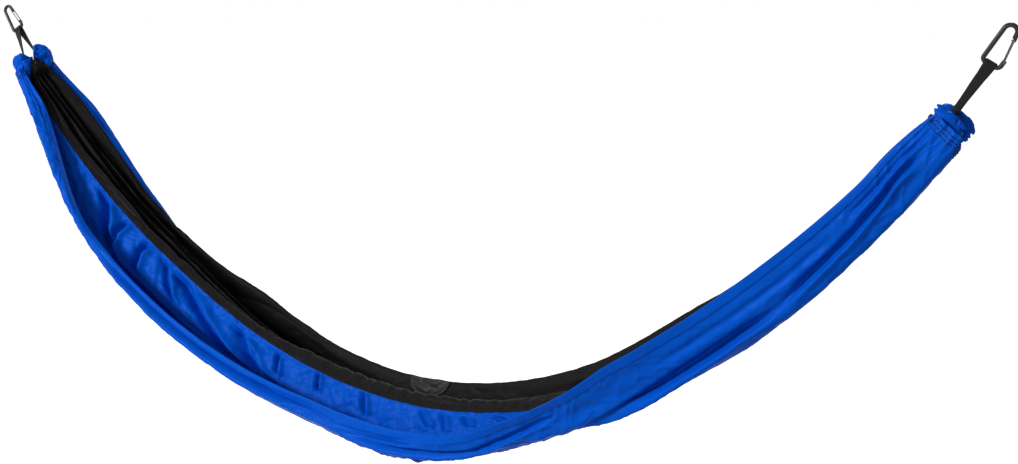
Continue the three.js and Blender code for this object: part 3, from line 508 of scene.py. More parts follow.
def add_node(tree, kind, inputs=None, **settings):
    """Adds a node; inputs hold its values, or the sockets that feed them."""
    made = tree.nodes.new(kind)
    for name, value in settings.items():
        setattr(made, name, value)
    feed(tree, made, inputs or {})
    return made


def new_material(name):
    """A new material, its node tree and its Principled surface."""
    material = bpy.data.materials.new(name)
    material.use_nodes = True
    return material, material.node_tree, material.node_tree.nodes["Principled BSDF"]


def taffeta(name, colour, shade, roughness, gloss, dyed_gloss):
    """Nylon taffeta: a plain weave of flat filament yarn, calendered to a soft satin."""
    material, tree, surface = new_material(name)
    uv = add_node(tree, "ShaderNodeUVMap", uv_map="cloth").outputs["UV"]
    # The real yarns lie 0.2 mm apart; they are drawn 1 mm apart so that they show.
    threads = add_node(tree, "ShaderNodeMapping", {"Vector": uv, "Scale": (1000, 1000, 1)})
    weave = add_node(
        tree, "ShaderNodeTexChecker", {"Vector": threads.outputs[0], "Scale": 1.0}).outputs["Fac"]
    # Dye and wear vary a little over a hand's width, and each yarn a little from the next.
    worn = add_node(tree, "ShaderNodeTexNoise", {"Vector": uv, "Scale": 14.0, "Detail": 4.0})
    mottle = add_node(
        tree, "ShaderNodeMath", {0: worn.outputs["Fac"], 1: weave, 2: weave},
        operation="MULTIPLY_ADD")
    blend = add_node(
        tree, "ShaderNodeMapRange", {"Value": mottle.outputs[0], "From Min": 0.25, "From Max": 1.6})
    dye = add_node(
        tree, "ShaderNodeMix",
        {"Factor": blend.outputs[0], "A": linear(shade), "B": linear(colour)}, data_type="RGBA")
    # Sharp little crinkles 10 to 40 mm long, from being stuffed in its bag.
    bent = add_node(
        tree, "ShaderNodeMapping",
        {"Vector": uv, "Scale": (1.0, 0.6, 1.0), "Rotation": (0, 0, 0.5)})
    crinkle = add_node(
        tree, "ShaderNodeTexNoise",
        {"Vector": bent.outputs[0], "Scale": 24.0, "Detail": 4.0, "Roughness": 0.55,
         "Distortion": 0.8}, noise_type="RIDGED_MULTIFRACTAL")
    fine = add_node(
        tree, "ShaderNodeBump", {"Height": weave, "Strength": 0.1, "Distance": 0.0002})
    coarse = add_node(
        tree, "ShaderNodeBump",
        {"Height": crinkle.outputs["Fac"], "Strength": 0.9, "Distance": 0.0045,
         "Normal": fine.outputs["Normal"]})
    # The metallic share gives the cloth's gloss the dye's own colour.
    feed(tree, surface, {
        "Base Color": dye.outputs["Result"], "Normal": coarse.outputs["Normal"],
        "Roughness": roughness, "Specular IOR Level": gloss, "Metallic": dyed_gloss, "IOR": 1.53})
    return material


def cloth_panel(name, edges, columns, rows, material):
    """The flat cloth between two edges, draped, with its UV map in flat metres."""
    flats, shares = np.linspace(*edges, columns), row_shares(rows)
    return new_piece(name, drape(shares, flats), grid_faces(rows + 1, columns), material,
                     cloth_map(flats, shares * PANEL_LENGTH))


blue_nylon = taffeta("blue nylon taffeta", "0251c0", "0247ae", 0.42, 0.02, 0.03)
near_panel = cloth_panel("near_side_cloth", FLAT_AT[0:2], columns=111, rows=900,
                         material=blue_nylon)
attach(near_panel, "hammock")
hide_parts("near_side_panel")

# ---------- centre panel ----------
# The wide panel of black nylon taffeta that carries the sleeper, felled to both blue panels.
# Empty, it shuts into long upright folds.
black_nylon = taffeta("black nylon taffeta", "1e1c1d", "171617", 0.48, 0.03, 0.0)
centre_panel = cloth_panel("centre_cloth", FLAT_AT[1:3], columns=221, rows=450,
                           material=black_nylon)
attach(centre_panel, "hammock")
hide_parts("centre_panel")

# ---------- far side panel ----------
# The blue panel on the far side, cut from the same taffeta as the near one and hemmed too.
# It wraps beneath the folds.
far_panel = cloth_panel("far_side_cloth", FLAT_AT[2:4], columns=111, rows=400,
                        material=blue_nylon)
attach(far_panel, "hammock")
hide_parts("far_side_panel")

# ---------- stow pocket ----------
# A half round patch pocket of thinner black nylon inside the far fold, which the hammock
# packs into. Its curved edge is bound and sewn down, and its mouth stands a little open.
POCKET_PLACE, POCKET_REACH, POCKET_DEPTH, POCKET_DROP = 0.498, 0.060, 0.039, 0.002
POCKET_CLOTH, POCKET_BINDING, BINDING_STEP = 0.0009, 0.005, 0.0015
POCKET_GAP, POCKET_BELLY, POCKET_RUMPLE = 0.0012, 0.003, 0.0012  # how far it stands off
BELLY_START, RUMPLE_START = 0.02, 0.01  # metres from the edge until they are full
POCKET_COLUMNS, POCKET_ROWS = 91, 41
POCKET_TIP, POCKET_EDGE = 0.992, 0.97  # how near to its tips and its edge the mesh comes
FLAT_PER_METRE = 1.19  # of the gathered cloth beneath it


def tube_faces(rings, sides, closed):
    """Faces between rings of points, the last joined to the first where closed."""
    a = np.arange(rings if closed else rings - 1)[:, None]
    b = np.arange(sides)
    here, ahead = a * sides, ((a + 1) % rings) * sides
    right = (b + 1) % sides
    return np.stack([here + b, here + right, ahead + right, ahead + b], -1).reshape(-1, 4)


def face_outward(piece, merge=0):
    """Merges points that are nearer than merge, fills holes and turns the faces outwards."""
    work = bmesh.new()
    work.from_mesh(piece.data)
    if merge:
        bmesh.ops.remove_doubles(work, verts=work.verts, dist=merge)
    bmesh.ops.holes_fill(work, edges=[e for e in work.edges if e.is_boundary])
    bmesh.ops.recalc_face_normals(work, faces=work.faces)
    work.to_mesh(piece.data)
    work.free()


across = np.sin(np.linspace(-np.pi / 2, np.pi / 2, POCKET_COLUMNS) * POCKET_TIP)
down = np.linspace(0, 1, POCKET_ROWS)
half_round = np.sqrt(1 - across[:, None] ** 2) * down
pocket_shares = POCKET_PLACE + across * POCKET_REACH / PANEL_LENGTH
mouth_flats = []
for share in pocket_shares:
    folds, _, way, flat_at = flat_section(share)
    mouth_flats.append(np.interp(np.interp(TOP_FOLD, folds, way) - POCKET_DROP, way, flat_at))
flats = np.array(mouth_flats)[:, None] - FLAT_PER_METRE * POCKET_DEPTH * half_round
from_edge = POCKET_DEPTH * (1 - POCKET_EDGE * np.hypot(across[:, None], half_round))
thickness = POCKET_CLOTH * (1 + ramp(from_edge, POCKET_BINDING, -BINDING_STEP))
belly = ramp(from_edge, 0, BELLY_START) * POCKET_BELLY * (1 + (1 - down) ** 2)
rumple = POCKET_RUMPLE * random_field(across[:, None] * 5 + 9, down * 4, 14)
gap = POCKET_GAP + belly + rumple * ramp(from_edge, 0, RUMPLE_START)
outside = drape(pocket_shares, flats, gap + thickness)
inside = drape(pocket_shares, flats, gap)
pocket_rings = np.concatenate([outside, inside[:, ::-1]], 1)
around = np.concatenate([flats, flats[:, ::-1]], 1)
pocket_map = np.stack(np.broadcast_arrays(around, pocket_shares[:, None] * PANEL_LENGTH), -1)
pocket_nylon = taffeta("thin black nylon taffeta", "2e2d2f", "282729", 0.46, 0.08, 0.0)
pocket = new_piece("stow_pocket_patch", pocket_rings,
                   tube_faces(POCKET_COLUMNS, 2 * POCKET_ROWS, False), pocket_nylon, pocket_map)
face_outward(pocket)
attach(pocket, "hammock")
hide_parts("stow_pocket")

# ---------- seams and hems ----------
# Flat-felled seams join the panels: both edges folded into each other and sewn flat, 10 mm
# wide. The long edges are turned twice and sewn as 14 mm hems.
SEAM_WIDTH, HEM_WIDTH = 0.010, 0.014
SEWN_THICKNESS = 0.0024
LAID_WIDER = 1.7  # the cloth is gathered, so a band covers more of it than its own width
BAND_ROWS, BAND_SIDES, BAND_SQUARE = 900, 16, 0.5
BAND_PATTERN = 0.003  # metres of weave to a radian round the band
HEM_MIDDLE = HEM_WIDTH * LAID_WIDER / 2


def squared_off(wave, power):
    """A cosine or sine with flatter sides, the flatter the smaller the power."""
    return np.sign(wave) * np.abs(wave) ** power


def sewn_band(name, middle, width, node, material):
    """A closed band on both faces of the cloth, rounded at its edges."""
    shares = row_shares(BAND_ROWS)
    turn = np.linspace(0, 2 * np.pi, BAND_SIDES, endpoint=False)
    across = squared_off(np.cos(turn), BAND_SQUARE) * width * LAID_WIDER / 2
    lift = squared_off(np.sin(turn), BAND_SQUARE) * SEWN_THICKNESS / 2
    band = new_piece(name, drape(shares, middle + across, lift),
                     tube_faces(len(shares), BAND_SIDES, False), material,
                     cloth_map(turn * BAND_PATTERN + middle, shares * PANEL_LENGTH))
    face_outward(band)
    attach(band, "hammock")
    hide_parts(node)


for name, middle, width, node, material, slot in (
    ("near_flat_felled_seam", FLAT_AT[1], SEAM_WIDTH, "near_seam", black_nylon, "black_nylon"),
    ("far_flat_felled_seam", FLAT_AT[2], SEAM_WIDTH, "far_seam", black_nylon, "black_nylon"),
    ("near_turned_hem", HEM_MIDDLE, HEM_WIDTH, "near_hem", blue_nylon, "blue_nylon"),
    ("far_turned_hem", FLAT_AT[3] - HEM_MIDDLE, HEM_WIDTH, "far_hem", blue_nylon, "blue_nylon"),
):
    sewn_band(name, middle, width, node, material)

# ---------- gathered end channels ----------
# Each end of the cloth is folded over and sewn into a channel, and the sling draws the
# channel up until it bends to a thick ruched ring whose two mouths face the carabiner.
RINGS = {  # radius of the ring, how far it is tilted, and its middle's reach from the cloth
    "left": (0.0235, LEFT_TILT, 0.036),
    "right": (0.018, 0, 0.027),
}
PUFFED = {"left": (0.0240, 0.036), "right": (0.011, 0.025)}  # half thickness, half height
MOUTH_ANGLE, SLIPPED, COLOUR_ANGLE = math.radians(132), math.radians(26), math.radians(34)
LINE_LENGTH = 2 * CLOTH_START + PANEL_LENGTH
CHANNEL_SIDES, CHANNEL_STEP = 80, 0.0009
BORE_THICK, BORE_TALL = 0.0026, 0.0056  # half sizes of the bore that the webbing runs through
# The ruching: height and pitch along the webbing of its gathers, fine gathers and lumps.
GATHERS, FINE_GATHERS, LUMPS = (0.0044, 0.010), (0.0018, 0.0045), (0.0046, 0.018)
FULLNESS, TALLER, THINNEST = 0.0020, 1.3, 0.0015
SWAYS = (0.005, 0.03), (0.004, 0.02)  # how far the gathers wander, and over what length
MOUTH_SIZE, MOUTH_ROUNDING = 0.62, math.radians(30)
FLATTER, FLATTER_HALF = 0.3, 0.7  # where the cloth pulls on the ring's front, in radians
RING_SQUARE, HEIGHT_SQUARE = 0.75, 0.8
CHANNEL_ROUND, CHANNEL_GATHERED = 0.16, 4  # flat metres round it, and to a metre along it


def end_frame(is_left, distance, tilt):
    """A place at a distance from a hang point, and the directions along, across and up."""
    start, step = (distance, MM) if is_left else (LINE_LENGTH - distance, -MM)
    origin = Vector(place(start, 0, 0))
    along = (Vector(place(start + step, 0, 0)) - origin).normalized()
    square = Vector((-along.z if is_left else along.z, 0, abs(along.x)))
    far = Vector((0, 1, 0))
    across = far * math.cos(tilt) + square * math.sin(tilt)
    up = square * math.cos(tilt) - far * math.sin(tilt)
    return origin, along, across, up


def ring_frame(end_name):
    """The middle of a channel's ring, and its directions along, across and up."""
    _, tilt, from_cloth = RINGS[end_name]
    return end_frame(end_name == "left", CLOTH_START - from_cloth, tilt)


def ring_points(end_name, angles, radial, height):
    """Points at angles round a channel's ring, radial metres from its middle and height up."""
    origin, along, across, up = (np.array(v) for v in ring_frame(end_name))
    a, b = radial * np.cos(angles), radial * np.sin(angles)
    return origin + a[..., None] * along + b[..., None] * across + height[..., None] * up


def channel_piece(end_name, part, start, end, material):
    """A length of the ruched channel, with the sling's bore through it."""
    ring_radius, seed = RINGS[end_name][0], 20 + len(end_name)
    steps = max(30, round(abs(end - start) * ring_radius / CHANNEL_STEP))
    angle = np.linspace(start, end, steps)[:, None]
    side = np.linspace(0, 2 * np.pi, CHANNEL_SIDES, endpoint=False)
    c, s = np.cos(side), np.sin(side)
    way = angle * ring_radius  # metres along the webbing
    # Round the section, each random height is read on a circle, so that it meets itself.
    sway = sum(size * random_field(way / over, 1.5 * wave + knot, seed)
               for (size, over), wave, knot in zip(SWAYS, (c, s), (4, 9)))
    gather = sharp_folds((way + sway) / GATHERS[1], 1.4 * c + 5, seed + 1)
    fine = sharp_folds((way + 1.5 * sway) / FINE_GATHERS[1], 2.2 * s + 9, seed + 3)
    lumps = random_field(way / LUMPS[1] + 7, 1.6 * s + 1.9 * c + 3, seed + 2)
    puff = GATHERS[0] * gather + FINE_GATHERS[0] * fine + LUMPS[0] * lumps + FULLNESS
    to_mouth = ramp(np.abs(angle), max(abs(end), MOUTH_ANGLE), -MOUTH_ROUNDING)
    closing = MOUTH_SIZE + (1 - MOUTH_SIZE) * np.sqrt(1 - (1 - to_mouth) ** 2)
    flatter = 1 - FLATTER * close_to(angle, 0, FLATTER_HALF)
    thick = (PUFFED[end_name][0] + puff) * closing * flatter
    tall = (PUFFED[end_name][1] + TALLER * puff) * closing
    radial = np.maximum(ring_radius + squared_off(c, RING_SQUARE) * thick, THINNEST)
    height = squared_off(s, HEIGHT_SQUARE) * tall - CHANNEL_DROP
    outer = ring_points(end_name, angle, radial, height)
    bore = ring_points(end_name, angle, ring_radius + BORE_THICK * c, BORE_TALL * s)
    weave = cloth_map(np.linspace(0, CHANNEL_ROUND, CHANNEL_SIDES), way * CHANNEL_GATHERED)
    piece = new_piece(f"{end_name}_ruched_channel_{part}", np.concatenate([outer, bore[::-1]]),
                      tube_faces(2 * steps, CHANNEL_SIDES, True), material,
                      np.concatenate([weave, weave[::-1]]))
    face_outward(piece)
    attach(piece, "hammock")
    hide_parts(f"{end_name}_end_channel_{part}")


for end_name in ("left", "right"):
    # The left channel has slipped round its sling, so its far mouth is nearly shut.
    far_mouth = MOUTH_ANGLE + (SLIPPED if end_name == "left" else 0)
    channel_piece(end_name, "near", -COLOUR_ANGLE, -MOUTH_ANGLE, blue_nylon)
    channel_piece(end_name, "centre", -COLOUR_ANGLE, COLOUR_ANGLE, black_nylon)
    channel_piece(end_name, "far", COLOUR_ANGLE, far_mouth, blue_nylon)

# ---------- carabiners ----------
# Asymmetric D carabiners of 8 mm steel rod, bent to shape and powder coated black. The gate
# is one sprung wire, whose cross bar sits in a slot behind the nose.
ROD_RADIUS = 0.004
BASKET = 0.068  # the rod's centre line at the basket, from the hang point
SIDE = 0.016  # half the width between the rod's centre lines
BOW_RADIUS, BASKET_CORNER = 0.011, 0.007
BOW_MIDDLE = (BOW_RADIUS - ROD_RADIUS, BOW_RADIUS - SIDE)
PIVOT_FROM_BASKET, PIVOT_CAP = 0.0115, 0.0045
PIVOT = (BASKET - PIVOT_FROM_BASKET, SIDE)
NOSE_REACH, HOOK_LENGTH = 0.013, 0.003
WIRE_RADIUS = 0.00125
CLEARANCE = 0.0003
ROD_SIDES, ROD_EDGE, WIRE_SIDES, WIRE_EDGE = 28, 0.0006, 16, 0.0002
CARABINER_INSIDE = 0.064
TWISTS = {"left": math.radians(-12), "right": math.radians(25)}
INSIDE_BOW = BOW_RADIUS - ROD_RADIUS
SEAT_TURN = math.radians(45)  # where the load sits in the bow, from its top towards the gate
LOAD_SEAT = (BOW_MIDDLE[0] - INSIDE_BOW * math.cos(SEAT_TURN),
             BOW_MIDDLE[1] + INSIDE_BOW * math.sin(SEAT_TURN))
# How a bar's end is rounded: the size of each ring, and how much of the edge it stands out.
ROUNDED_END = ((0.001, 1), (0.75, 1), (0.93, 0.6))
to_pivot = (PIVOT[0] - BOW_MIDDLE[0], PIVOT[1] - BOW_MIDDLE[1])
nose_slope = math.atan2(to_pivot[1], to_pivot[0]) - math.asin(BOW_RADIUS / math.hypot(*to_pivot))
nose_start = (BOW_MIDDLE[0] - BOW_RADIUS * math.sin(nose_slope),
              BOW_MIDDLE[1] + BOW_RADIUS * math.cos(nose_slope))


def along_nose(distance):
    """A place on the straight nose, from where it leaves the bow."""
    return (nose_start[0] + math.cos(nose_slope) * distance,
            nose_start[1] + math.sin(nose_slope) * distance)


def arc(middle, radius, start, end, steps):
    """Places on a round stretch, both ends included."""
    angles = np.linspace(start, end, steps + 1)
    return [(middle[0] + radius * math.cos(t), middle[1] + radius * math.sin(t)) for t in angles]


def rod_line():
    """The rod's centre line: from the gate's pivot round the basket and the bow to the nose."""
    corner, quarter = BASKET - BASKET_CORNER, math.pi / 2
    return [
        (PIVOT[0] - PIVOT_CAP, SIDE), PIVOT,
        *arc((corner, SIDE - BASKET_CORNER), BASKET_CORNER, quarter, 0, 10),
        *arc((corner, BASKET_CORNER - SIDE), BASKET_CORNER, 0, -quarter, 10),
        *arc(BOW_MIDDLE, BOW_RADIUS, -quarter, -3 * quarter + nose_slope, 26),
        along_nose(NOSE_REACH / 2), along_nose(NOSE_REACH),
    ]


def round_bar(line, radius, sides, edge):
    """Points of a round bar along a line, with its end edges rounded, and a tube's faces."""
    line = np.array(line, float)
    heading = np.gradient(line, axis=0)
    heading /= np.linalg.norm(heading, axis=1)[:, None]
    guess = np.where(np.abs(heading[:, 2:]) > 0.9, (0, 1, 0), (0, 0, 1))
    u = guess - heading * (guess * heading).sum(1)[:, None]
    u /= np.linalg.norm(u, axis=1)[:, None]
    v = np.cross(heading, u)
    turn = np.linspace(0, 2 * np.pi, sides, endpoint=False)[:, None]
    rings = [(line[0] - heading[0] * edge * out, size, 0) for size, out in ROUNDED_END]
    rings += [(point, 1, k) for k, point in enumerate(line)]
    rings += [(line[-1] + heading[-1] * edge * out, size, -1) for size, out in ROUNDED_END[::-1]]
    points = np.array([at + radius * size * (u[k] * np.cos(turn) + v[k] * np.sin(turn))
                       for at, size, k in rings])
    return points, tube_faces(len(rings), sides, False)


def carabiner_frame(end_name):
    """The hook's own origin, spine, width and through directions."""
    is_left = end_name == "left"
    origin, along, _, up = end_frame(is_left, 0, TWISTS[end_name])
    gate_side = up if is_left else -up
    lean = math.atan2(-LOAD_SEAT[1], CARABINER_INSIDE - LOAD_SEAT[0])
    spine = along * math.cos(lean) - gate_side * math.sin(lean)
    width = along * math.sin(lean) + gate_side * math.cos(lean)
    return origin - spine * LOAD_SEAT[0] - width * LOAD_SEAT[1], spine, width, spine.cross(width)


def in_hook(hook, points):
    """Points that are given along the spine, the width and through, in the part's own place."""
    origin, spine, width, through = (np.array(v) for v in hook)
    points = np.asarray(points)
    return (origin + points[..., 0:1] * spine + points[..., 1:2] * width
            + points[..., 2:3] * through)


def coated_steel(name, colour, roughness, metallic):
    """Steel with a powder-coated or blackened skin, slightly pebbled, whose low gloss varies."""
    material, tree, surface = new_material(name)
    place_at = add_node(tree, "ShaderNodeTexCoord").outputs["Object"]
    pebble = add_node(
        tree, "ShaderNodeTexNoise", {"Vector": place_at, "Scale": 900.0, "Detail": 2.0})
    wear = add_node(
        tree, "ShaderNodeTexNoise", {"Vector": place_at, "Scale": 130.0, "Detail": 4.0})
    gloss = add_node(
        tree, "ShaderNodeMapRange",
        {"Value": wear.outputs["Fac"], "To Min": roughness - 0.08, "To Max": roughness + 0.12})
    bump = add_node(
        tree, "ShaderNodeBump",
        {"Height": pebble.outputs["Fac"], "Strength": 0.25, "Distance": 0.0003})
    feed(tree, surface, {
        "Base Color": linear(colour), "Normal": bump.outputs["Normal"],
        "Roughness": gloss.outputs[0], "Metallic": metallic, "Specular IOR Level": 0.3})
    return material


black_coat = coated_steel("black powder coat on steel", "0a0a0b", 0.3, 0.0)
gate_steel = coated_steel("blackened spring steel wire", "4a4a4c", 0.32, 1.0)


def cutter(hook, outline, low, high):
    """A straight-sided solid through the hook, used once to cut and then removed."""
    count = len(outline)
    points = [(a, w, low) for a, w in outline] + [(a, w, high) for a, w in outline]
    mesh = bpy.data.meshes.new("cutter")
    sides = [(k, (k + 1) % count, count + (k + 1) % count, count + k) for k in range(count)]
    caps = [tuple(range(count))[::-1], tuple(range(count, 2 * count))]
    mesh.from_pydata(in_hook(hook, points).tolist(), [], sides + caps)
    tool = put_in_scene("cutter", mesh)
    face_outward(tool)
    return tool


def cut_away(body, tools):
    """Cuts each tool out of the body, and keeps the edges of the cuts sharp."""
    for tool in tools:
        step = body.modifiers.new("cut", "BOOLEAN")
        step.object, step.operation, step.solver = tool, "DIFFERENCE", "EXACT"
        graph = bpy.context.evaluated_depsgraph_get()
        result = bpy.data.meshes.new_from_object(body.evaluated_get(graph))
        body.modifiers.clear()
        body.data = result
        bpy.data.objects.remove(tool)
    for face in body.data.polygons:
        face.use_smooth = True
    body.data.set_sharp_from_angle(angle=math.radians(35))


def gate_slot():
    """Outline of the slot for the gate's cross bar, open towards the spine."""
    hole, deep = WIRE_RADIUS + CLEARANCE, 2 * ROD_RADIUS
    middle = along_nose(NOSE_REACH - HOOK_LENGTH)
    outline = arc((0, 0), hole, 0, math.pi, 12) + [(-hole, -deep), (hole, -deep)]
    c, s = math.cos(nose_slope), math.sin(nose_slope)
    return [(middle[0] + a * c - w * s, middle[1] + a * s + w * c) for a, w in outline]


def gate_line():
    """The gate's wire: from one end in the pivot, across behind the nose, and back."""
    legs = ROD_RADIUS + WIRE_RADIUS + CLEARANCE
    end = ROD_RADIUS / 2 + CLEARANCE
    bend = 2 * WIRE_RADIUS
    cross = along_nose(NOSE_REACH - HOOK_LENGTH)
    stops = [(*PIVOT, -end), (*PIVOT, -legs), (*cross, -legs), (*cross, legs), (*PIVOT, legs),
             (*PIVOT, end)]
    points = [Vector(stops[0])]
    for before, at, after in zip(stops, stops[1:], stops[2:]):
        at = Vector(at)
        into = at + (Vector(before) - at).normalized() * bend
        out = at + (Vector(after) - at).normalized() * bend
        for t in np.linspace(0, 1, 9):
            points.append(into * (1 - t) ** 2 + at * 2 * t * (1 - t) + out * t * t)
    points.append(Vector(stops[-1]))
    return [tuple(p) for p in points]


pin_outline = arc(PIVOT, WIRE_RADIUS + CLEARANCE, 0, 2 * math.pi, 24)[:-1]
for end_name in ("left", "right"):
    hook = carabiner_frame(end_name)
    points, faces = round_bar([(a, w, 0) for a, w in rod_line()], ROD_RADIUS, ROD_SIDES, ROD_EDGE)
    body = new_piece(f"{end_name}_carabiner_rod", in_hook(hook, points), faces, black_coat)
    face_outward(body, merge=0.00002)
    cut_away(body, [
        cutter(hook, gate_slot(), -2 * ROD_RADIUS, 2 * ROD_RADIUS),
        cutter(hook, pin_outline, ROD_RADIUS / 2, 2 * ROD_RADIUS),
        cutter(hook, pin_outline, -2 * ROD_RADIUS, -ROD_RADIUS / 2),
    ])
    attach(body, f"{end_name}_carabiner")
    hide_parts(f"{end_name}_carabiner_body")
    points, faces = round_bar(gate_line(), WIRE_RADIUS, WIRE_SIDES, WIRE_EDGE)
    gate = new_piece(f"{end_name}_gate_wire", in_hook(hook, points), faces, gate_steel)
    face_outward(gate, merge=0.00001)
    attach(gate, f"{end_name}_gate")
    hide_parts(f"{end_name}_carabiner_gate")

# ---------- webbing slings ----------
# A closed loop of 20 mm nylon webbing at each end. It lies flat over the carabiner's basket
# and folds in two where it runs through the gathered channel.
WEBBING_WIDTH, WEBBING_THICKNESS = 0.020, 0.002
FOLDED_WIDTH = 0.007
BIGHT_WRAP = math.radians(101)
BIGHT_STATIONS, RING_STATIONS = 25, 49
FOLDING_STEPS = 30  # between the bight and the channel, where the webbing folds and turns
# The webbing's section: flat faces and rounded selvedges.
flat_steps = np.linspace(-0.9, 0.9, 8)
WEBBING_EDGE = [(f, 1) for f in flat_steps] + [(0.97, 0.7), (1, 0), (0.97, -0.7)]
WEBBING_EDGE += [(f, -1) for f in flat_steps[::-1]] + [(-0.97, -0.7), (-1, 0), (-0.97, 0.7)]

# Nylon webbing: a dense matt weave of ribs, each the width of one picked yarn.
webbing, tree, surface = new_material("black nylon webbing")
webbing_uv = add_node(tree, "ShaderNodeUVMap", uv_map="cloth").outputs["UV"]
# The real ribs lie about 1 mm apart along it; they are drawn 2 mm apart so that they show.
ribs = add_node(
    tree, "ShaderNodeTexWave",
    {"Vector": webbing_uv, "Scale": 160.0, "Distortion": 0.6, "Detail": 1.0}, bands_direction="Y")
fuzz = add_node(tree, "ShaderNodeTexNoise", {"Vector": webbing_uv, "Scale": 420.0, "Detail": 3.0})
mixed = add_node(
    tree, "ShaderNodeMix",
    {"Factor": fuzz.outputs["Fac"], "A": linear("0c0c0d"), "B": linear("222224")},
    data_type="RGBA")
bump = add_node(
    tree, "ShaderNodeBump", {"Height": ribs.outputs["Fac"], "Strength": 0.7, "Distance": 0.0006})
feed(tree, surface, {
    "Base Color": mixed.outputs["Result"], "Normal": bump.outputs["Normal"], "Roughness": 0.7,
    "Sheen Weight": 0.05, "Specular IOR Level": 0.15})


def webbing_stations(end_name):
    """Centre, wide and thick directions, width and thickness, right round the loop."""
    origin, along, across, up = ring_frame(end_name)
    hook_origin, spine, width, through = carabiner_frame(end_name)
    middle = hook_origin + spine * BASKET
    side = through if through.dot(across) > 0 else -through
    bar = width if width.dot(up) > 0 else -width
    bight_radius = ROD_RADIUS + CLEARANCE + WEBBING_THICKNESS / 2
    stations = []
    for turn in np.linspace(-BIGHT_WRAP, BIGHT_WRAP, BIGHT_STATIONS):
        thick = -spine * math.cos(turn) + side * math.sin(turn)
        at = middle + thick * bight_radius
        stations.append((at, bar, thick, WEBBING_WIDTH, WEBBING_THICKNESS))
    for angle in np.linspace(MOUTH_ANGLE, -MOUTH_ANGLE, RING_STATIONS):
        thick = along * math.cos(angle) + across * math.sin(angle)
        at = origin + thick * RINGS[end_name][0]
        stations.append((at, up, thick, FOLDED_WIDTH, 2 * WEBBING_THICKNESS))
    return stations


def sling(end_name):
    """A closed loop of webbing through its stations, one ring of points at each."""
    stations = webbing_stations(end_name)
    rings = []
    for here, after in zip(stations, stations[1:] + stations[:1]):
        steps = FOLDING_STEPS if here[3] != after[3] else 1
        for f in np.arange(steps) / steps:
            soft = f * f * (3 - 2 * f)
            centre = here[0].lerp(after[0], f)
            wide = here[1].lerp(after[1], f).normalized()
            thick = here[2].lerp(after[2], f).normalized()
            half_width, half_thick = (
                (here[k] + (after[k] - here[k]) * soft) / 2 for k in (3, 4))
            rings.append([centre + wide * i * half_width + thick * j * half_thick
                          for i, j in WEBBING_EDGE])
    points = np.array(rings)
    girth = 2 * (WEBBING_WIDTH + WEBBING_THICKNESS)
    piece = new_piece(f"{end_name}_sling", points, tube_faces(len(rings), len(WEBBING_EDGE), True),
                      webbing, cloth_map(np.linspace(0, girth, len(WEBBING_EDGE)),
                                         lengths_along(points[:, 0])))
    face_outward(piece)
    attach(piece, "hammock")
    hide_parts(f"{end_name}_webbing_sling")


for end_name in ("left", "right"):
    sling(end_name)

# ---------- stitches ----------
# Polyester thread, two rows along each seam, one along each hem, and three across the cloth
# where each channel is closed. Each stitch lies on the cloth like a grain of rice.
# The real thread is 0.3 mm thick at 3 mm pitch; it is drawn coarser so that it shows.
STITCH = {"Pitch": 0.007, "Length": 0.0058, "Radius": 0.0009}
ON_BAND = SEWN_THICKNESS / 2 + 0.0002
ON_CLOTH = 0.0004
SEAM_ROW = 0.005  # from the middle of the seam
HEM_ROW = HEM_MIDDLE * LAID_WIDER  # from the edge
CHANNEL_ROWS = (0.006, 0.011, 0.016)  # from the cloth's ends
SHORT_OF_END, SHORT_OF_HEM = 0.004, 0.004  # a share of the length, and metres
POINTS_ALONG, POINTS_ACROSS = 1400, 900

sewing = bpy.data.node_groups.new("rows of stitches", "GeometryNodeTree")
sockets = sewing.interface
sockets.new_socket("Rows", in_out="INPUT", socket_type="NodeSocketGeometry")
for label in STITCH:
    sockets.new_socket(label, in_out="INPUT", socket_type="NodeSocketFloat")
sockets.new_socket("Thread", in_out="INPUT", socket_type="NodeSocketMaterial")
sockets.new_socket("Stitches", in_out="OUTPUT", socket_type="NodeSocketGeometry")
given = add_node(sewing, "NodeGroupInput").outputs
rows = add_node(sewing, "GeometryNodeMeshToCurve", {"Mesh": given["Rows"]})
spaced = add_node(
    sewing, "GeometryNodeResampleCurve",
    {"Curve": rows.outputs[0], "Length": given["Pitch"]}, mode="LENGTH")
half = add_node(sewing, "ShaderNodeMath", {0: given["Length"], 1: 0.5}, operation="MULTIPLY")
size = add_node(
    sewing, "ShaderNodeCombineXYZ",
    {"X": given["Radius"], "Y": given["Radius"], "Z": half.outputs[0]})
grain = add_node(
    sewing, "GeometryNodeMeshUVSphere", {"Segments": 6, "Rings": 4, "Radius": 1.0})
stitch = add_node(
    sewing, "GeometryNodeTransform",
    {"Geometry": grain.outputs["Mesh"], "Scale": size.outputs[0]})
heading = add_node(sewing, "GeometryNodeInputTangent")
turned = add_node(
    sewing, "FunctionNodeAlignRotationToVector", {"Vector": heading.outputs[0]}, axis="Z")
laid = add_node(
    sewing, "GeometryNodeInstanceOnPoints",
    {"Points": spaced.outputs[0], "Instance": stitch.outputs[0], "Rotation": turned.outputs[0]})
real = add_node(sewing, "GeometryNodeRealizeInstances", {"Geometry": laid.outputs[0]})
sewn = add_node(
    sewing, "GeometryNodeSetMaterial",
    {"Geometry": real.outputs[0], "Material": given["Thread"]})
add_node(sewing, "NodeGroupOutput", {"Stitches": sewn.outputs[0]})


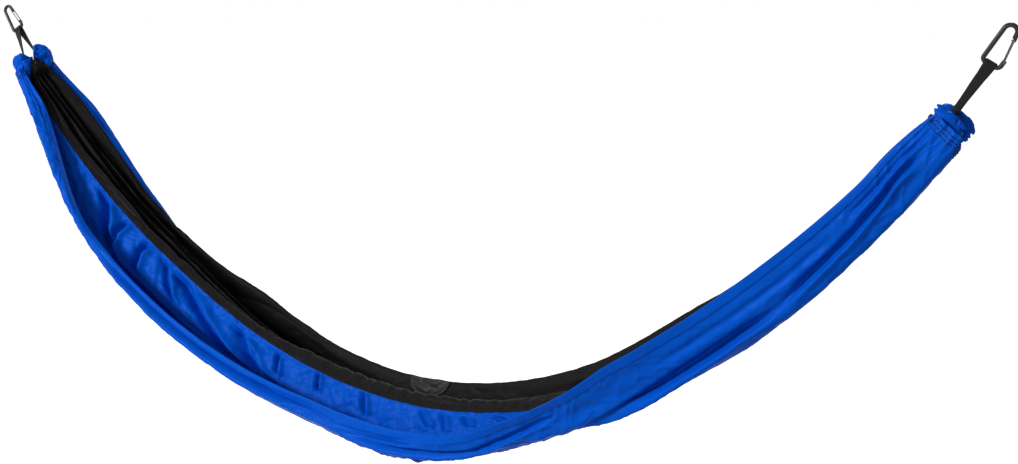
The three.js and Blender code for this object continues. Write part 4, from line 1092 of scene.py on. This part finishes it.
def polyester_thread(name, dark, light):
    """Spun polyester thread: dull, with a slight twist of lighter fibres."""
    material, tree, surface = new_material(name)
    place_at = add_node(tree, "ShaderNodeTexCoord").outputs["Object"]
    twist = add_node(tree, "ShaderNodeTexNoise", {"Vector": place_at, "Scale": 700.0})
    mixed = add_node(
        tree, "ShaderNodeMix",
        {"Factor": twist.outputs["Fac"], "A": linear(dark), "B": linear(light)}, data_type="RGBA")
    feed(tree, surface, {"Base Color": mixed.outputs["Result"], "Roughness": 0.65,
                         "Specular IOR Level": 0.05})
    return material


def along_rows(middles):
    """Rows of points along the cloth's bands, on both faces."""
    shares = np.linspace(SHORT_OF_END, 1 - SHORT_OF_END, POINTS_ALONG)
    return [drape(shares, np.array([at]), side * ON_BAND)[:, 0]
            for at in middles for side in (-1, 1)]


def across_rows(distances):
    """Rows of points across the cloth beside both channels, on both faces."""
    flats = np.linspace(SHORT_OF_HEM, FLAT_AT[3] - SHORT_OF_HEM, POINTS_ACROSS)
    shares = [share for d in distances for share in (d / PANEL_LENGTH, 1 - d / PANEL_LENGTH)]
    return [drape(np.array([share]), flats, side * ON_CLOTH)[0]
            for share in shares for side in (-1, 1)]


def sew(name, lines, thread):
    """Sews rows of points with stitches, which become one plain mesh."""
    starts = np.cumsum([0] + [len(line) for line in lines])
    edges = [(k, k + 1) for start, line in zip(starts, lines)
             for k in range(start, start + len(line) - 1)]
    rows_mesh = bpy.data.meshes.new("stitch rows")
    rows_mesh.from_pydata(np.concatenate(lines).tolist(), edges, [])
    rows_object = put_in_scene("stitch rows", rows_mesh)
    needle = rows_object.modifiers.new("sewing", "NODES")
    needle.node_group = sewing
    given = {**STITCH, "Thread": thread}
    for socket in sewing.interface.items_tree:
        if socket.name in given:
            needle[socket.identifier] = given[socket.name]
    graph = bpy.context.evaluated_depsgraph_get()
    mesh = bpy.data.meshes.new_from_object(rows_object.evaluated_get(graph))
    bpy.data.objects.remove(rows_object)
    mesh.polygons.foreach_set("use_smooth", [True] * len(mesh.polygons))
    stitches = put_in_scene(name, mesh)
    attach(stitches, "hammock")


black_thread = polyester_thread("black polyester thread", "101012", "26262a")
blue_thread = polyester_thread("blue polyester thread", "033a94", "0a56c8")
seam_rows = [seam + off for seam in FLAT_AT[1:3] for off in (-SEAM_ROW, SEAM_ROW)]
sew("seam_and_channel_stitches", along_rows(seam_rows) + across_rows(CHANNEL_ROWS),
    black_thread)
sew("hem_stitches", along_rows([HEM_ROW, FLAT_AT[3] - HEM_ROW]), blue_thread)

# ---------- floor and light ----------
# A pale floor under the hanging hammock, a white surround, and three large soft lamps: a
# strong one from the front left, and two weak ones for the shaded side and the back.
FLOOR_DROP, FLOOR_REACH = 0.55, 30
FLOOR_GLOW, UNSEEN_SKY = 0.86, 0.2


def seen(tree):
    """1 for rays from the camera, and for mirrored and transmitted ones, or else 0."""
    ray = add_node(tree, "ShaderNodeLightPath").outputs
    direct = add_node(
        tree, "ShaderNodeMath", {0: ray["Is Camera Ray"], 1: ray["Is Glossy Ray"]},
        operation="MAXIMUM")
    return add_node(
        tree, "ShaderNodeMath", {0: direct.outputs[0], 1: ray["Is Transmission Ray"]},
        operation="MAXIMUM").outputs[0]


floor_corners = np.array([
    (SPAN / 2 + i * FLOOR_REACH, j * FLOOR_REACH, cad_box[0].z - FLOOR_DROP)
    for i, j in ((-1, -1), (1, -1), (1, 1), (-1, 1))])
floor_paint, tree, surface = new_material("pale floor")
feed(tree, surface, {"Base Color": (0.6, 0.6, 0.6, 1), "Roughness": 0.9})
glow = add_node(tree, "ShaderNodeEmission", {"Color": (1, 1, 1, 1), "Strength": FLOOR_GLOW})
both = add_node(tree, "ShaderNodeAddShader", {0: surface.outputs[0], 1: glow.outputs[0]})
shown = add_node(
    tree, "ShaderNodeMixShader", {0: seen(tree), 1: surface.outputs[0], 2: both.outputs[0]})
feed(tree, tree.nodes["Material Output"], {"Surface": shown.outputs[0]})
floor = new_piece("floor", floor_corners, np.array([[0, 1, 2, 3]]), floor_paint)

world = bpy.data.worlds.new("white surround")
bpy.context.scene.world = world
world.use_nodes = True
sky = world.node_tree
strength = add_node(
    sky, "ShaderNodeMapRange", {"Value": seen(sky), "To Min": UNSEEN_SKY, "To Max": 1.0})
feed(sky, sky.nodes["Background"], {"Color": (1, 1, 1, 1), "Strength": strength.outputs[0]})

middle = (cad_box[0] + cad_box[1]) / 2
for name, place_at, size, power in (
    ("key", (-2.4, -7.4, 3.1), 2.0, 740),
    ("fill", (5.0, -7.4, -0.4), 2.4, 100),
    ("back", (1.6, 2.8, 1.8), 1.6, 60),
):
    lamp = put_in_scene(name, bpy.data.lights.new(name, "AREA"))
    lamp.data.shape, lamp.data.size, lamp.data.energy = "DISK", size, power
    lamp.location = place_at
    lamp.rotation_euler = (middle - Vector(place_at)).to_track_quat("-Z", "Y").to_euler()
